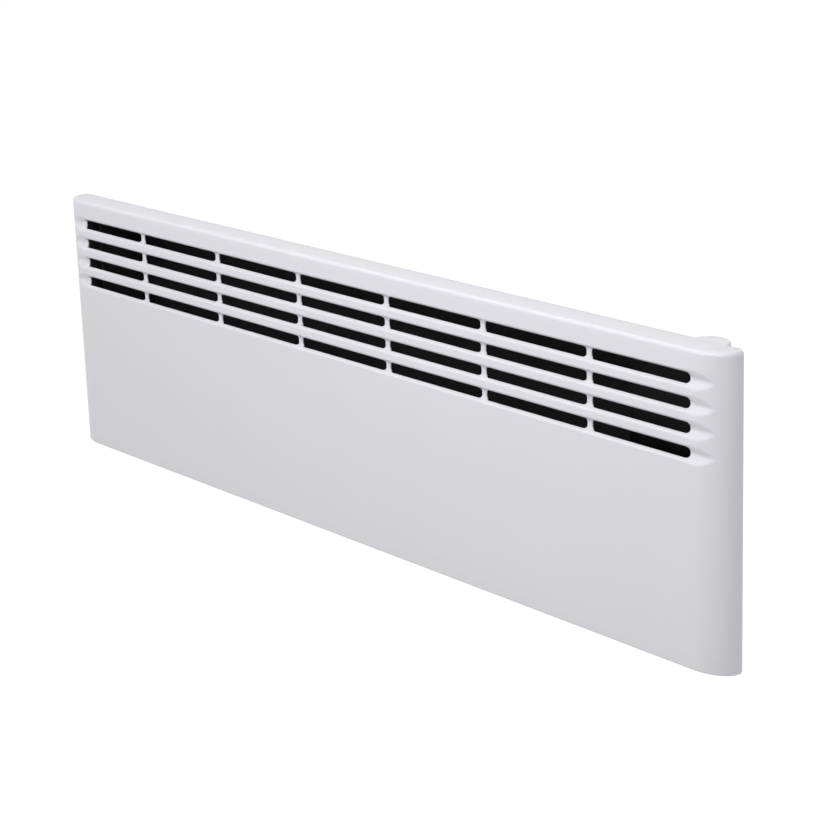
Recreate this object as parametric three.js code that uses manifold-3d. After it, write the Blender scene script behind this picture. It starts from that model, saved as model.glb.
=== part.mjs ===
// Wall panel convector heater: a low, wide electric heater that hangs on a wall bracket.
// Millimetres, +Z up, front towards -Y. The origin lies on the wall, behind the panel's centre.
import * as THREE from 'three';
import { mergeVertices } from 'three/addons/utils/BufferGeometryUtils.js';
import Module from 'manifold-3d';

const wasm = await Module();
wasm.setup();

// ---- Driving dimensions ---------------------------------------------------------------------

// Overall
const panelLength = 726;        // front casing, end to end
const panelHeight = 202;        // front casing, bottom to top
const shellDepth = 21.5;        // front casing, rim to face
const trayDepth = 33.2;         // rear casing, back to flange
const wallGap = 30;             // wall to the back of the rear casing
const contactGap = 0.3;         // between pieces that touch

// Front casing
const sheet = 1;                // casing sheet
const topEdgeRadius = 3;
const bottomEdgeRadius = 1.6;
const endFrontLength = 25;      // rounded end, from the face round to the widest point
const endFrontDepth = 15.6;
const endRearLength = 9;        // rounded end, from the widest point back to the rim
const rimLap = 4;               // rim inside the rear casing's walls

// Grooves and slots
const grooveRows = 4;
const groovePitch = 15.38;
const topRowBelowTop = 18.93;   // top of the casing to the centre of the first row
const grooveDepth = 3.3;
const grooveFaceWidth = 11.6;
const grooveFloorWidth = 5.8;
const slotPitch = 100;
const runOutDepth = 3.1;        // groove past the outermost slots, where it is a plain V
const runOutFaceWidth = 12.8;
const runOutFlat = 0.4;         // flat at the bottom of that V
const runOutBlend = 4;          // length over which the groove turns into the V
const runOutLap = 2;            // of that, beside the round ends of the slots at the right
const slotBridge = 4.5;         // between two slots of a row
const slotHeight = 7;
const slotCorner = 2.6;
const slotEndMargin = 29.6;     // outermost slots to the casing's right end
const firstSlotReach = 1.6;     // that the outermost slots at the left stand nearer to their end
const bridgeOffset = -3.6;      // middle of the bridges from the panel's middle

// Rear casing
const trayEndInset = 33;        // set in from the front casing's ends
const trayTopInset = 13;        // set in from the front casing's top and bottom
const trayCorner = 5;
const flangeWidth = 9;
const inletRows = 2;
const inletLength = 46;
const inletWidth = 6;
const inletPitch = 56;
const inletRowPitch = 13;
const inletEndMargin = 20;      // inlets to the rear casing's left end and to the control housing
const casingScrewFromEnd = 110; // outer screws of the long rims to the rear casing's ends
const cornerCut = 0.05;         // kept off a full round end, so that it has a short flat
const screwShank = 3;
const screwHead = 7;
const screwHeadHeight = 2;
const screwLength = 6;
const screwClearance = 0.3;

// Heat shields and duct ends
const shieldSheet = 0.8;
const shieldEndGap = 4;         // shield ends to the rear casing's ends
const rearShieldRise = 47;      // bottom of its foot above the element's middle
const rearShieldFootHeight = 12;
const rearShieldStandOff = 4;
const rearShieldBendDrop = 24;  // first bend below the rim's window
const rearShieldSlopeDepth = 6;
const rearShieldSlopeHeight = 13;
const rearShieldCrownDepth = 16;
const rearShieldCrownDrop = 2;
const shieldLipDrop = 3;        // top of the shield below the rim's window
const shieldSlotRoom = 1.2;     // shield's front edge above the first row of slots
const shieldCheekGap = 1;       // rear shield's end cheek to the front shield
const frontShieldStandOff = 4;
const frontShieldFoot = 4;
const ductEndMargin = 0.8;      // duct end past the outermost slot
const ductEndRise = 6;          // duct ends' bottom above the end screws

// Heating element
const elementFromWall = 52;
const elementRise = 50;         // element's middle above the rear casing's bottom, outside
const finReach = 24;
const finThickness = 2;
const finHub = 8;
const finAngle = 52;            // degrees from the horizontal
const elementEndRoom = 35;      // element's left end to the rear casing's left end, outside
const terminalClearance = 2.2;  // right terminal to the control housing
const tubeRadius = 4.25;
const tubeClearance = 0.25;
const bushRadius = 7;
const bushLength = 9;
const bracketSheet = 1.2;
const elementBracketHeight = 84;
const elementBracketFoot = 12;
const terminalRadius = 2;
const terminalLength = 14;

// Overheat cut-out
const cutoutFromEnd = 95;       // its middle to the element's right end
const cutoutRise = 33;          // its bracket above the element's middle
const cutoutRadius = 8;
const cutoutHeight = 7;
const cutoutReach = 26;
const cutoutBracketWidth = 20;
const cutoutFootHeight = 12;
const cutoutTabReach = 4;
const cutoutTabWidth = 6;
const cutoutTabRise = 2.8;      // tabs above the bottom of the disc

// Control unit
const controlInset = 4.5;       // control housing to the rear casing's right end, outside
const controlLength = 64;
const controlTopGap = 2;        // control housing's top to the rear casing's top, outside
const controlBottomGap = 24;    // control housing's bottom to the rear casing's bottom, outside
const controlWall = 1.5;
const controlFrontInset = 3.2;  // control housing's open front to the rear casing's flange
const coverThickness = 1.5;
const bossRadius = 3;
const bossHeight = 2.7;
const boardThickness = 1.6;
const boardMargin = 4;
const boardTopMargin = 31;      // room over the board for the dial's potentiometer
const relayWidth = 20;
const relayHeight = 18;
const relayDepth = 14;
const relayRise = 22;           // relay above the terminal block
const relayInset = 7;           // relay from the board's left edge
const blockWidth = 32;
const blockHeight = 18;
const blockDepth = 12;
const blockInset = 10;          // terminal block from the board's left edge
const blockRise = 8;            // terminal block above the board's bottom edge
const blockWellRadius = 3.2;
const blockWellDepth = 7.2;

// Dial and lamp
const dialRadius = 13.6;
const dialHeight = 6.4;
const dialLift = 0.6;           // dial above the rear casing
const dialFromEnd = 47.6;       // dial axis to the panel's right end
const dialFromRim = 15.4;       // dial axis behind the front casing's rim
const dialEdge = 1;
const dialNotch = 1.2;
const dialNotchInner = 6.1;     // notch's inner end to the dial's axis
const shaftRadius = 3;
const shaftClearance = 0.4;
const potWidth = 17;
const potHeight = 9;
const lampFromDial = 23;
const lampRadius = 2.4;
const lampRim = 3.4;
const lampRimHeight = 0.8;
const lampDome = 2.2;
const lampStem = 2.5;           // stem below the control housing's top wall
const lampClearance = 0.3;

// Switch
const switchDrop = 58;          // switch's middle below the rear casing's top, outside
const switchFromRim = 18;
const bezelWidth = 15;
const bezelHeight = 23;
const bezelThickness = 1.5;
const switchWidth = 12.6;
const switchHeight = 21.4;
const switchDepth = 17;
const switchWall = 1.1;
const rockerGap = 0.35;
const rockerPivotDepth = 5.3;   // rocker pivot below the bezel's front
const rockerHalfAngle = 10;     // degrees either side of level
const rockerReach = 8;
const rockerCrown = 6.6;
const rockerDip = 5.1;
const rockerHub = 3;
const rockerSkirt = 1;          // skirt's edge ahead of the pivot

// Cable gland and sensor
const glandFromEnd = 66;
const glandRadius = 6;
const glandBore = 4;
const glandHeadRadius = 9;
const glandHeadHeight = 6;
const glandNutHeight = 4;
const glandNeck = 1;            // neck's end past the nut
const sensorFromControl = 31.5; // its middle to the control housing
const sensorRadius = 2.5;
const sensorLength = 16;
const sensorFootRadius = 4.5;
const sensorFootHeight = 2;
const sensorTaper = 1;

// Leads inside
const leadRadius = 1.4;
const leadRunStep = 52;         // between the points of a long straight run
const leadExit = 4;             // straight run out of a terminal
const leadEntry = 8;            // straight run into the control housing
const leadRunStart = 30;        // long run's ends, from the element's left end and to the cut-out
const leadRunEnd = 60;
const leadLoopRise = 14;
const leadLoopDepth = 8;
const leadSwitchSlack = 12;
const leadSwitchDrop = 26;
const leadTurn = 24;            // where the return lead leaves the tray's back

// Wall bracket
const uprightFromEnd = 163;     // upright's middle to the front casing's end
const uprightWidth = 30;
const uprightSheet = 2;
const uprightTopDrop = 10;      // upright's top below the rear casing's top, outside
const uprightBelow = 2;         // upright's foot below the rear casing's bottom, outside
const uprightFlangeDepth = 17;
const uprightFlangeStep = 3;    // flange above the hook set back by
const uprightTopTaper = 6;      // flange's slope at the top of the upright
const wallHoleRadius = 3;
const wallHoleRise = 27;        // wall screw holes above and below the middle
const railHeight = 28;
const railSheet = 1.5;
const railJoggle = 12;
const railStart = 1;            // joggle's end before the upright
const rivetRadius = 2;
const rivetHead = 3.6;
const rivetHeadHeight = 1.4;

// Hooks, lugs and pins
const pinRadius = 3;
const pinFromWall = 21;
const pinRise = 16;             // pin's middle above the rear casing's bottom, outside
const pinFit = 0.12;
const saddleFit = 0.3;
const hookTip = 3.3;
const hookShoulder = 3;         // hook's outer side above the pin's middle
const hookTipRise = 6;
const hookMouthRise = 4.5;
const hookThroatRise = 9;
const hookBackRise = 15;
const pinOverhang = 3;
const lugSheet = 1.5;
const lugTongue = 4;
const lugEye = 5.6;
const lugBaseWidth = 22;
const lugBaseHeight = 34;
const lugBelowPin = 11.9;       // lug's base below the pin's middle
const lugScrewRise = 21.1;      // lug's screw above the pin's middle

// Spring clips
const clipSheet = 0.8;
const clipWidth = 16;
const clipFootHeight = 22;
const clipNoseRise = 10;        // nose above the foot's top
const clipNoseDrop = 16;        // nose below the rear casing's top, outside
const clipBendDepth = 5;
const clipBendDrop = 5;
const clipWallRoom = 4;         // bend before the nose, from the rear casing's back
const clipWallDrop = 3;
const clipNoseRound = 1;
const clipLipRise = 3;
const clipCatch = 4;            // height of the nose behind the rear casing's wall
const clipWindowWidth = 20;
const clipWindowHeight = 9;

// ---- Places worked out from them ------------------------------------------------------------

const halfLength = panelLength / 2;
const topZ = panelHeight / 2;
const bottomZ = -topZ;
const backY = -wallGap;
const flangeY = backY - trayDepth;
const rimY = flangeY - contactGap;
const faceY = rimY - shellDepth;
const floorY = faceY + grooveDepth;
const floorBackY = floorY + sheet;
const rimFrontY = rimY - sheet;
const trayHalf = halfLength - trayEndInset;
const trayTop = topZ - trayTopInset;
const trayBottom = -trayTop;
const trayBackY = backY - sheet;
const windowHalf = trayHalf - rimLap;
const windowTop = trayTop - rimLap;
const fieldHalf = halfLength - slotEndMargin;
const fieldLeft = -fieldHalf - firstSlotReach;
const slotColumns = Math.round(2 * fieldHalf / slotPitch);
const controlRight = trayHalf - controlInset;
const controlLeft = controlRight - controlLength;
const controlTop = trayTop - controlTopGap;
const controlBottom = trayBottom + controlBottomGap;
const controlFrontY = flangeY + controlFrontInset;
const controlBackY = trayBackY - contactGap;
const dialX = halfLength - dialFromEnd;
const dialY = rimY + dialFromRim;
const switchY = rimY + switchFromRim;
const switchZ = trayTop - switchDrop;
const rockerX = trayHalf + contactGap + bezelThickness - rockerPivotDepth;
const glandX = halfLength - glandFromEnd;
const glandY = (flangeY + backY) / 2;
const bossFrontY = controlBackY - controlWall - bossHeight;
const boardFrontY = bossFrontY - contactGap - boardThickness;
const boardLeft = controlLeft + controlWall + boardMargin;
const boardRight = controlRight - controlWall - boardMargin;
const boardBottom = controlBottom + controlWall + boardMargin;
const boardTop = controlTop - controlWall - boardTopMargin;
const blockX = boardLeft + blockInset;
const blockZ = boardBottom + blockRise;
const blockFrontY = boardFrontY - contactGap - blockDepth;
const elementY = -elementFromWall;
const elementZ = trayBottom + elementRise;
const elementLeft = -trayHalf + elementEndRoom;
const elementRight = controlLeft - terminalClearance - terminalLength - contactGap;
const rearShieldFoot = elementZ + rearShieldRise;
const rearShieldBend = windowTop - rearShieldBendDrop;
const cutoutX = elementRight - cutoutFromEnd;
const cutoutY = trayBackY - cutoutReach + cutoutRadius;
const cutoutZ = elementZ + cutoutRise;
const inletMiddle = (controlLeft - trayHalf) / 2;
const inletRoom = controlLeft + trayHalf - 2 * inletEndMargin;
const inletColumns = Math.floor((inletRoom + inletPitch - inletLength) / inletPitch);
const sensorX = controlLeft - sensorFromControl;
const pinY = -pinFromWall;
const pinZ = trayBottom + pinRise;
const uprightX = halfLength - uprightFromEnd;
const uprightTop = trayTop - uprightTopDrop;
const uprightBottom = trayBottom - uprightBelow;
const clipNoseZ = trayTop - clipNoseDrop;
const clipFootTop = clipNoseZ - clipNoseRise;
const clipFootBottom = clipFootTop - clipFootHeight;

// ---- Helpers --------------------------------------------------------------------------------

const radians = Math.PI / 180;
const outOfX = new THREE.Matrix4().makeBasis(
  new THREE.Vector3(0, 1, 0), new THREE.Vector3(0, 0, 1), new THREE.Vector3(1, 0, 0));
const outOfY = new THREE.Matrix4().makeBasis(
  new THREE.Vector3(1, 0, 0), new THREE.Vector3(0, 0, 1), new THREE.Vector3(0, -1, 0));

function toSolid(geometry) {
  const bare = geometry.clone();
  bare.deleteAttribute('normal');
  bare.deleteAttribute('uv');
  const merged = mergeVertices(bare, 1e-4);
  return new wasm.Manifold(new wasm.Mesh({
    numProp: 3,
    vertProperties: new Float32Array(merged.attributes.position.array),
    triVerts: new Uint32Array(merged.index.array),
  }));
}

function toGeometry(solid) {
  const mesh = solid.getMesh();
  const geometry = new THREE.BufferGeometry();
  geometry.setAttribute('position', new THREE.BufferAttribute(new Float32Array(mesh.vertProperties), 3));
  geometry.setIndex(new THREE.BufferAttribute(new Uint32Array(mesh.triVerts), 1));
  return geometry;
}

function join(first, ...others) {
  return toGeometry(others.reduce((solid, other) => solid.add(toSolid(other)), toSolid(first)));
}

function cut(body, ...tools) {
  return toGeometry(tools.reduce((solid, tool) => solid.subtract(toSolid(tool)), toSolid(body)));
}

// A box between two corners.
function block(x0, x1, y0, y1, z0, z1) {
  const geometry = new THREE.BoxGeometry(x1 - x0, y1 - y0, z1 - z0);
  return geometry.translate((x0 + x1) / 2, (y0 + y1) / 2, (z0 + z1) / 2);
}

// A flat outline in Y and Z, extruded from x0 to x1.
function alongX(shape, x0, x1, curveSegments = 6) {
  const geometry = new THREE.ExtrudeGeometry(shape, { depth: x1 - x0, bevelEnabled: false, curveSegments });
  return geometry.applyMatrix4(outOfX).translate(x0, 0, 0);
}

// A flat outline in X and Z, extruded from y0 to y1.
function alongY(shape, y0, y1, curveSegments = 6) {
  const geometry = new THREE.ExtrudeGeometry(shape, { depth: y1 - y0, bevelEnabled: false, curveSegments });
  return geometry.applyMatrix4(outOfY).translate(0, y1, 0);
}

// A flat outline in X and Y, extruded from z0 to z1.
function alongZ(shape, z0, z1, curveSegments = 6) {
  const geometry = new THREE.ExtrudeGeometry(shape, { depth: z1 - z0, bevelEnabled: false, curveSegments });
  return geometry.translate(0, 0, z0);
}

// A round bar along X, Y or Z through the point (x, y, z), from one place to another.
function rodX(radius, x0, x1, y, z, sides = 24) {
  const geometry = new THREE.CylinderGeometry(radius, radius, x1 - x0, sides);
  return geometry.rotateZ(-Math.PI / 2).translate((x0 + x1) / 2, y, z);
}

function rodY(radius, y0, y1, x, z, sides = 24) {
  const geometry = new THREE.CylinderGeometry(radius, radius, y1 - y0, sides);
  return geometry.translate(x, (y0 + y1) / 2, z);
}

function rodZ(radius, z0, z1, x, y, sides = 24) {
  const geometry = new THREE.CylinderGeometry(radius, radius, z1 - z0, sides);
  return geometry.rotateX(Math.PI / 2).translate(x, y, (z0 + z1) / 2);
}

// A closed outline of given points.
function polygon(points) {
  return new THREE.Shape(points.map(([u, v]) => new THREE.Vector2(u, v)));
}

// A rectangle whose left and right corners each have their own radius.
function roundedRectangle(u0, u1, v0, v1, leftRadius, rightRadius) {
  const shape = new THREE.Shape();
  shape.moveTo(u0 + leftRadius, v0);
  shape.lineTo(u1 - rightRadius, v0);
  if (rightRadius > 0) shape.absarc(u1 - rightRadius, v0 + rightRadius, rightRadius, -Math.PI / 2, 0);
  shape.lineTo(u1, v1 - rightRadius);
  if (rightRadius > 0) shape.absarc(u1 - rightRadius, v1 - rightRadius, rightRadius, 0, Math.PI / 2);
  shape.lineTo(u0 + leftRadius, v1);
  if (leftRadius > 0) shape.absarc(u0 + leftRadius, v1 - leftRadius, leftRadius, Math.PI / 2, Math.PI);
  shape.lineTo(u0, v0 + leftRadius);
  if (leftRadius > 0) shape.absarc(u0 + leftRadius, v0 + leftRadius, leftRadius, Math.PI, 3 * Math.PI / 2);
  return shape;
}

// A bent strip of sheet: its line, thickened to the left of the way it runs.
function bentStrip(points, thickness) {
  const line = points.map(([u, v]) => new THREE.Vector2(u, v));
  const offset = line.map((point, i) => {
    const before = line[Math.max(i - 1, 0)];
    const after = line[Math.min(i + 1, line.length - 1)];
    const intoPoint = (i > 0 ? point.clone().sub(before) : after.clone().sub(point)).normalize();
    const outOfPoint = (i < line.length - 1 ? after.clone().sub(point) : intoPoint.clone()).normalize();
    const mitre = intoPoint.clone().add(outOfPoint).normalize();
    const reach = thickness / mitre.dot(outOfPoint);
    return point.clone().add(new THREE.Vector2(-mitre.y, mitre.x).multiplyScalar(reach));
  });
  return new THREE.Shape([...line, ...offset.reverse()]);
}

const heater = new THREE.Group();
const finishes = {
  whitePaint: { color: 0xe6e5ea, roughness: 0.42, metalness: 0 },
  blackEnamel: { color: 0x131316, roughness: 0.6, metalness: 0 },
  zincSteel: { color: 0xb4b7ba, roughness: 0.38, metalness: 0.85 },
  springSteel: { color: 0x8d9094, roughness: 0.3, metalness: 0.9 },
  aluminium: { color: 0xb9bcc0, roughness: 0.45, metalness: 0.8 },
  ceramic: { color: 0xe9e3d6, roughness: 0.7, metalness: 0 },
  whitePlastic: { color: 0xe9e9ec, roughness: 0.35, metalness: 0 },
  blackPlastic: { color: 0x1a1b1d, roughness: 0.5, metalness: 0 },
  circuitGreen: { color: 0x1f5b3a, roughness: 0.5, metalness: 0 },
  relayBlue: { color: 0x28508c, roughness: 0.45, metalness: 0 },
  amberLens: { color: 0xd98324, roughness: 0.15, metalness: 0 },
  brownLead: { color: 0x6b3f22, roughness: 0.55, metalness: 0 },
  blueLead: { color: 0x2c5fa8, roughness: 0.55, metalness: 0 },
  greyLead: { color: 0x7b7d80, roughness: 0.55, metalness: 0 },
};

function piece(name, geometry, finish) {
  const mesh = new THREE.Mesh(geometry, new THREE.MeshStandardMaterial(finishes[finish]));
  mesh.name = name;
  heater.add(mesh);
  return mesh;
}

// ---- Front casing ---------------------------------------------------------------------------

const endSteps = 7;
const edgeSteps = 3;

// The casing's plan outline, anticlockwise from the front's left end, with its outward normals.
function planOutline() {
  const widestY = faceY + endFrontDepth;
  const rearDepth = shellDepth - endFrontDepth;
  const rightEnd = [];
  for (let i = 0; i <= endSteps; i += 1) {
    const angle = Math.PI / 2 * i / endSteps;
    rightEnd.push({
      x: halfLength - endFrontLength * (1 - Math.sin(angle)),
      y: widestY - endFrontDepth * Math.cos(angle),
      nx: Math.sin(angle) * endFrontDepth,
      ny: -Math.cos(angle) * endFrontLength,
    });
  }
  const rearSteps = 4;
  for (let i = 1; i <= rearSteps; i += 1) {
    const angle = Math.PI / 2 * i / rearSteps;
    rightEnd.push({
      x: halfLength - endRearLength * (1 - Math.cos(angle)),
      y: widestY + rearDepth * Math.sin(angle),
      nx: Math.cos(angle) * rearDepth,
      ny: Math.sin(angle) * endRearLength,
    });
  }
  const leftEnd = rightEnd.map((point) => ({ ...point, x: -point.x, nx: -point.nx })).reverse();
  return [...rightEnd, ...leftEnd].map((point) => {
    const length = Math.hypot(point.nx, point.ny);
    return { x: point.x, y: point.y, nx: point.nx / length, ny: point.ny / length };
  });
}

// Each level of the casing's edge roundings: its height, and how far it is drawn in.
function edgeLevels(wall) {
  const levels = [];
  const low = Math.max(bottomEdgeRadius - wall, 0.2);
  const high = Math.max(topEdgeRadius - wall, 0.2);
  for (let i = 0; i <= edgeSteps; i += 1) {
    const angle = Math.PI / 2 * i / edgeSteps;
    levels.push({ z: bottomZ + wall + low * (1 - Math.cos(angle)), draw: low * (1 - Math.sin(angle)) });
  }
  for (let i = edgeSteps; i >= 0; i -= 1) {
    const angle = Math.PI / 2 * i / edgeSteps;
    levels.push({ z: topZ - wall - high * (1 - Math.cos(angle)), draw: high * (1 - Math.sin(angle)) });
  }
  return levels;
}

// A solid through sections of equally many points, closed at both ends.
function throughSections(sections) {
  const count = sections[0].length;
  const index = [];
  for (let row = 0; row < sections.length - 1; row += 1) {
    for (let i = 0; i < count; i += 1) {
      const a = row * count + i;
      const b = row * count + (i + 1) % count;
      index.push(a, b, b + count, a, b + count, a + count);
    }
  }
  const top = (sections.length - 1) * count;
  for (let i = 1; i < count - 1; i += 1) {
    index.push(0, i + 1, i);
    index.push(top, top + i, top + i + 1);
  }
  const geometry = new THREE.BufferGeometry();
  geometry.setAttribute('position', new THREE.Float32BufferAttribute(sections.flat(2), 3));
  geometry.setIndex(index);
  return geometry;
}

// The casing's whole block, drawn in by a wall's thickness.
function casingBlock(wall) {
  const outline = planOutline();
  return throughSections(edgeLevels(wall).map((level) => outline.map((point) => {
    const x = point.x - point.nx * (wall + level.draw);
    const y = point.y - point.ny * wall - Math.min(point.ny, 0) * level.draw;
    return [x, y, level.z];
  })));
}

function rowZ(row) {
  return topZ - topRowBelowTop - row * groovePitch;
}

// A groove's section at a place along it; a wall grows it for the inside of the sheet.
function grooveSection(x, z, faceWidth, floorWidth, depth, wall) {
  const slope = (faceWidth - floorWidth) / 2 / depth;
  const ahead = grooveDepth;
  const growth = wall * Math.hypot(1, slope);
  const wide = faceWidth / 2 + slope * ahead + growth;
  const narrow = floorWidth / 2 - slope * wall + growth;
  return [
    [x, faceY - ahead, z - wide],
    [x, faceY + depth + wall, z - narrow],
    [x, faceY + depth + wall, z + narrow],
    [x, faceY - ahead, z + wide],
  ];
}

// One groove's cutter: flat-floored along the slots, a V from there past both ends.
function grooveCutter(row, wall) {
  const z = rowZ(row);
  const groove = (x) => grooveSection(x, z, grooveFaceWidth, grooveFloorWidth, grooveDepth, wall);
  const runOut = (x) => grooveSection(x, z, runOutFaceWidth, runOutFlat, runOutDepth, wall);
  const past = halfLength + grooveDepth;
  const right = fieldHalf - runOutLap;
  return throughSections([
    runOut(-past),
    runOut(fieldLeft - runOutBlend),
    groove(fieldLeft),
    groove(right),
    runOut(right + runOutBlend),
    runOut(past),
  ]);
}

// Left and right end of a slot.
function slotSpan(column) {
  const first = column === 0;
  const last = column === slotColumns - 1;
  const middle = bridgeOffset + (column - (slotColumns - 1) / 2) * slotPitch;
  const half = (slotPitch - slotBridge) / 2;
  return {
    left: first ? fieldLeft : middle - half,
    right: last ? fieldHalf : middle + half,
    leftRadius: first ? 0 : slotCorner,
    rightRadius: last ? slotHeight / 2 - cornerCut : slotCorner,
  };
}

function slotCutter(row, column) {
  const span = slotSpan(column);
  const z = rowZ(row);
  const outline = roundedRectangle(
    span.left, span.right, z - slotHeight / 2, z + slotHeight / 2, span.leftRadius, span.rightRadius);
  return alongY(outline, faceY - sheet, floorBackY + grooveDepth, 3);
}

// Where the casing screws stand: along the top and bottom rims, and one at each end.
function casingScrewPlaces() {
  const rimMiddle = flangeWidth / 2;
  const places = [];
  for (const z of [trayTop + rimMiddle, trayBottom - rimMiddle]) {
    for (const x of [casingScrewFromEnd - trayHalf, 0, trayHalf - casingScrewFromEnd]) places.push({ x, z });
  }
  places.push({ x: -trayHalf - rimMiddle, z: 0 });
  places.push({ x: trayHalf + rimMiddle, z: 0 });
  return places;
}

function screwHole(place) {
  const radius = screwShank / 2 + screwClearance;
  return rodY(radius, rimFrontY - sheet, flangeY + 2 * sheet, place.x, place.z, 12);
}

function frontCasing() {
  const rows = [...Array(grooveRows).keys()];
  const columns = [...Array(slotColumns).keys()];
  const hollow = cut(casingBlock(sheet), ...rows.map((row) => grooveCutter(row, sheet)));
  const window = block(-windowHalf, windowHalf, rimFrontY - sheet, rimY + sheet, -windowTop, windowTop);
  const slots = rows.flatMap((row) => columns.map((column) => slotCutter(row, column)));
  const outside = cut(casingBlock(0), ...rows.map((row) => grooveCutter(row, 0)));
  return cut(outside, hollow, window, ...slots, ...casingScrewPlaces().map(screwHole));
}

piece('front_casing', frontCasing(), 'whitePaint');

// ---- Rear casing ----------------------------------------------------------------------------

// Plan of the tray with its two rounded back corners, drawn in by a wall.
function trayPlan(wall) {
  const right = trayHalf - wall;
  const back = backY - wall;
  const corner = trayCorner - wall;
  const shape = new THREE.Shape();
  shape.moveTo(-right, flangeY);
  shape.lineTo(right, flangeY);
  shape.lineTo(right, back - corner);
  shape.absarc(right - corner, back - corner, corner, 0, Math.PI / 2);
  shape.lineTo(-right + corner, back);
  shape.absarc(-right + corner, back - corner, corner, Math.PI / 2, Math.PI);
  return shape;
}

function inletCutters() {
  const cutters = [];
  for (let row = 0; row < inletRows; row += 1) {
    const y = (flangeY + backY) / 2 + (row - (inletRows - 1) / 2) * inletRowPitch;
    for (let column = 0; column < inletColumns; column += 1) {
      const x = inletMiddle + (column - (inletColumns - 1) / 2) * inletPitch;
      const radius = inletWidth / 2 - cornerCut;
      const outline = roundedRectangle(
        x - inletLength / 2, x + inletLength / 2, y - inletWidth / 2, y + inletWidth / 2, radius, radius);
      cutters.push(alongZ(outline, trayBottom - sheet, trayBottom + 2 * sheet, 2));
    }
  }
  return cutters;
}

function clipWindow(side) {
  const x = side * uprightX;
  return block(
    x - clipWindowWidth / 2, x + clipWindowWidth / 2, trayBackY - sheet, backY + sheet,
    clipNoseZ + clipCatch - clipWindowHeight, clipNoseZ + clipCatch);
}

function switchOpening(clearance, x0, x1) {
  const halfWidth = switchWidth / 2 + clearance;
  const halfHeight = switchHeight / 2 + clearance;
  return block(x0, x1, switchY - halfWidth, switchY + halfWidth, switchZ - halfHeight, switchZ + halfHeight);
}

function shaftHole(z0, z1) {
  return rodZ(shaftRadius + shaftClearance, z0, z1, dialX, dialY, 20);
}

function lampHole(z0, z1) {
  return rodZ(lampRadius + lampClearance, z0, z1, dialX - lampFromDial, dialY, 16);
}

function rearCasing() {
  const tray = alongZ(trayPlan(0), trayBottom, trayTop, 3);
  const hollow = alongZ(trayPlan(sheet), trayBottom + sheet, trayTop - sheet, 3);
  const inner = trayHalf - sheet;
  const mouth = block(
    -inner, inner, flangeY - sheet, flangeY + sheet, trayBottom + sheet, trayTop - sheet);
  const flange = block(
    -trayHalf - flangeWidth, trayHalf + flangeWidth, flangeY, flangeY + sheet,
    trayBottom - flangeWidth, trayTop + flangeWidth);
  const glandHole = rodZ(
    glandRadius + contactGap, trayBottom - sheet, trayBottom + 2 * sheet, glandX, glandY, 20);
  return cut(
    join(tray, flange), hollow, mouth, ...inletCutters(), clipWindow(-1), clipWindow(1),
    switchOpening(contactGap, trayHalf - 2 * sheet, trayHalf + sheet),
    shaftHole(trayTop - 2 * sheet, trayTop + sheet), lampHole(trayTop - 2 * sheet, trayTop + sheet),
    glandHole, ...casingScrewPlaces().map(screwHole), ...lugScrewPlaces().map(lugScrewHole));
}

// ---- Casing screws --------------------------------------------------------------------------

// A turned screw: a low rounded head and a plain shank, its axis along +Y out of the head.
function screw(headRadius, headHeight, shankRadius, length) {
  const profile = [
    [0, -length],
    [shankRadius / 2, -length],
    [shankRadius, -length + shankRadius],
    [shankRadius, 0],
    [headRadius, 0],
    [headRadius, headHeight / 2],
    [headRadius / 2, headHeight],
    [0, headHeight],
  ];
  return new THREE.LatheGeometry(profile.map(([r, y]) => new THREE.Vector2(r, y)), 10);
}

function lugScrewPlaces() {
  return [-1, 1].map((side) => ({ x: side * uprightX, z: pinZ + lugScrewRise }));
}

function lugScrewHole(place) {
  return rodY(screwShank / 2 + screwClearance, trayBackY - sheet, backY + sheet, place.x, place.z, 12);
}

piece('rear_casing', rearCasing(), 'whitePaint');

casingScrewPlaces().forEach((place, i) => {
  const geometry = screw(screwHead / 2, screwHeadHeight, screwShank / 2, screwLength);
  geometry.translate(place.x, flangeY + sheet + contactGap, place.z);
  piece(`casing_screw_${i + 1}`, geometry, 'zincSteel');
});

// ---- Heat shields and duct ends -------------------------------------------------------------

// Black sheet behind the slots: a foot on the tray's back, a rise, and a bend forward over the slots.
// A cheek closes its left end.
function rearHeatShield() {
  const footY = trayBackY - contactGap;
  const riseY = footY - rearShieldStandOff;
  const topInside = windowTop - shieldLipDrop;
  const line = [
    [footY, rearShieldFoot],
    [footY, rearShieldFoot + rearShieldFootHeight],
    [riseY, rearShieldFoot + rearShieldFootHeight + rearShieldStandOff],
    [riseY, rearShieldBend],
    [riseY - rearShieldSlopeDepth, rearShieldBend + rearShieldSlopeHeight],
    [riseY - rearShieldCrownDepth, topInside - rearShieldCrownDrop],
    [rimY, topInside],
    [floorBackY + contactGap, rowZ(0) + slotHeight / 2 + shieldSlotRoom],
  ];
  const left = -windowHalf + shieldEndGap;
  const cheekFrontY = faceY + sheet + frontShieldStandOff + shieldSheet + shieldCheekGap;
  const cheekOutline = polygon([...line, [cheekFrontY, rowZ(0)], [cheekFrontY, rearShieldFoot]]);
  return join(
    alongX(bentStrip(line, shieldSheet), left, controlLeft - shieldEndGap),
    alongX(cheekOutline, left, left + shieldSheet));
}

// Black sheet that keeps the heat off the face below the slots.
function frontHeatShield() {
  const standY = faceY + sheet + frontShieldStandOff;
  const footZ = bottomZ + sheet + contactGap;
  const outline = bentStrip([
    [standY, rowZ(grooveRows - 1) - slotHeight / 2 - frontShieldStandOff],
    [standY, footZ],
    [standY + frontShieldStandOff + frontShieldFoot, footZ],
  ], shieldSheet);
  return alongX(outline, fieldLeft, fieldHalf);
}

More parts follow.
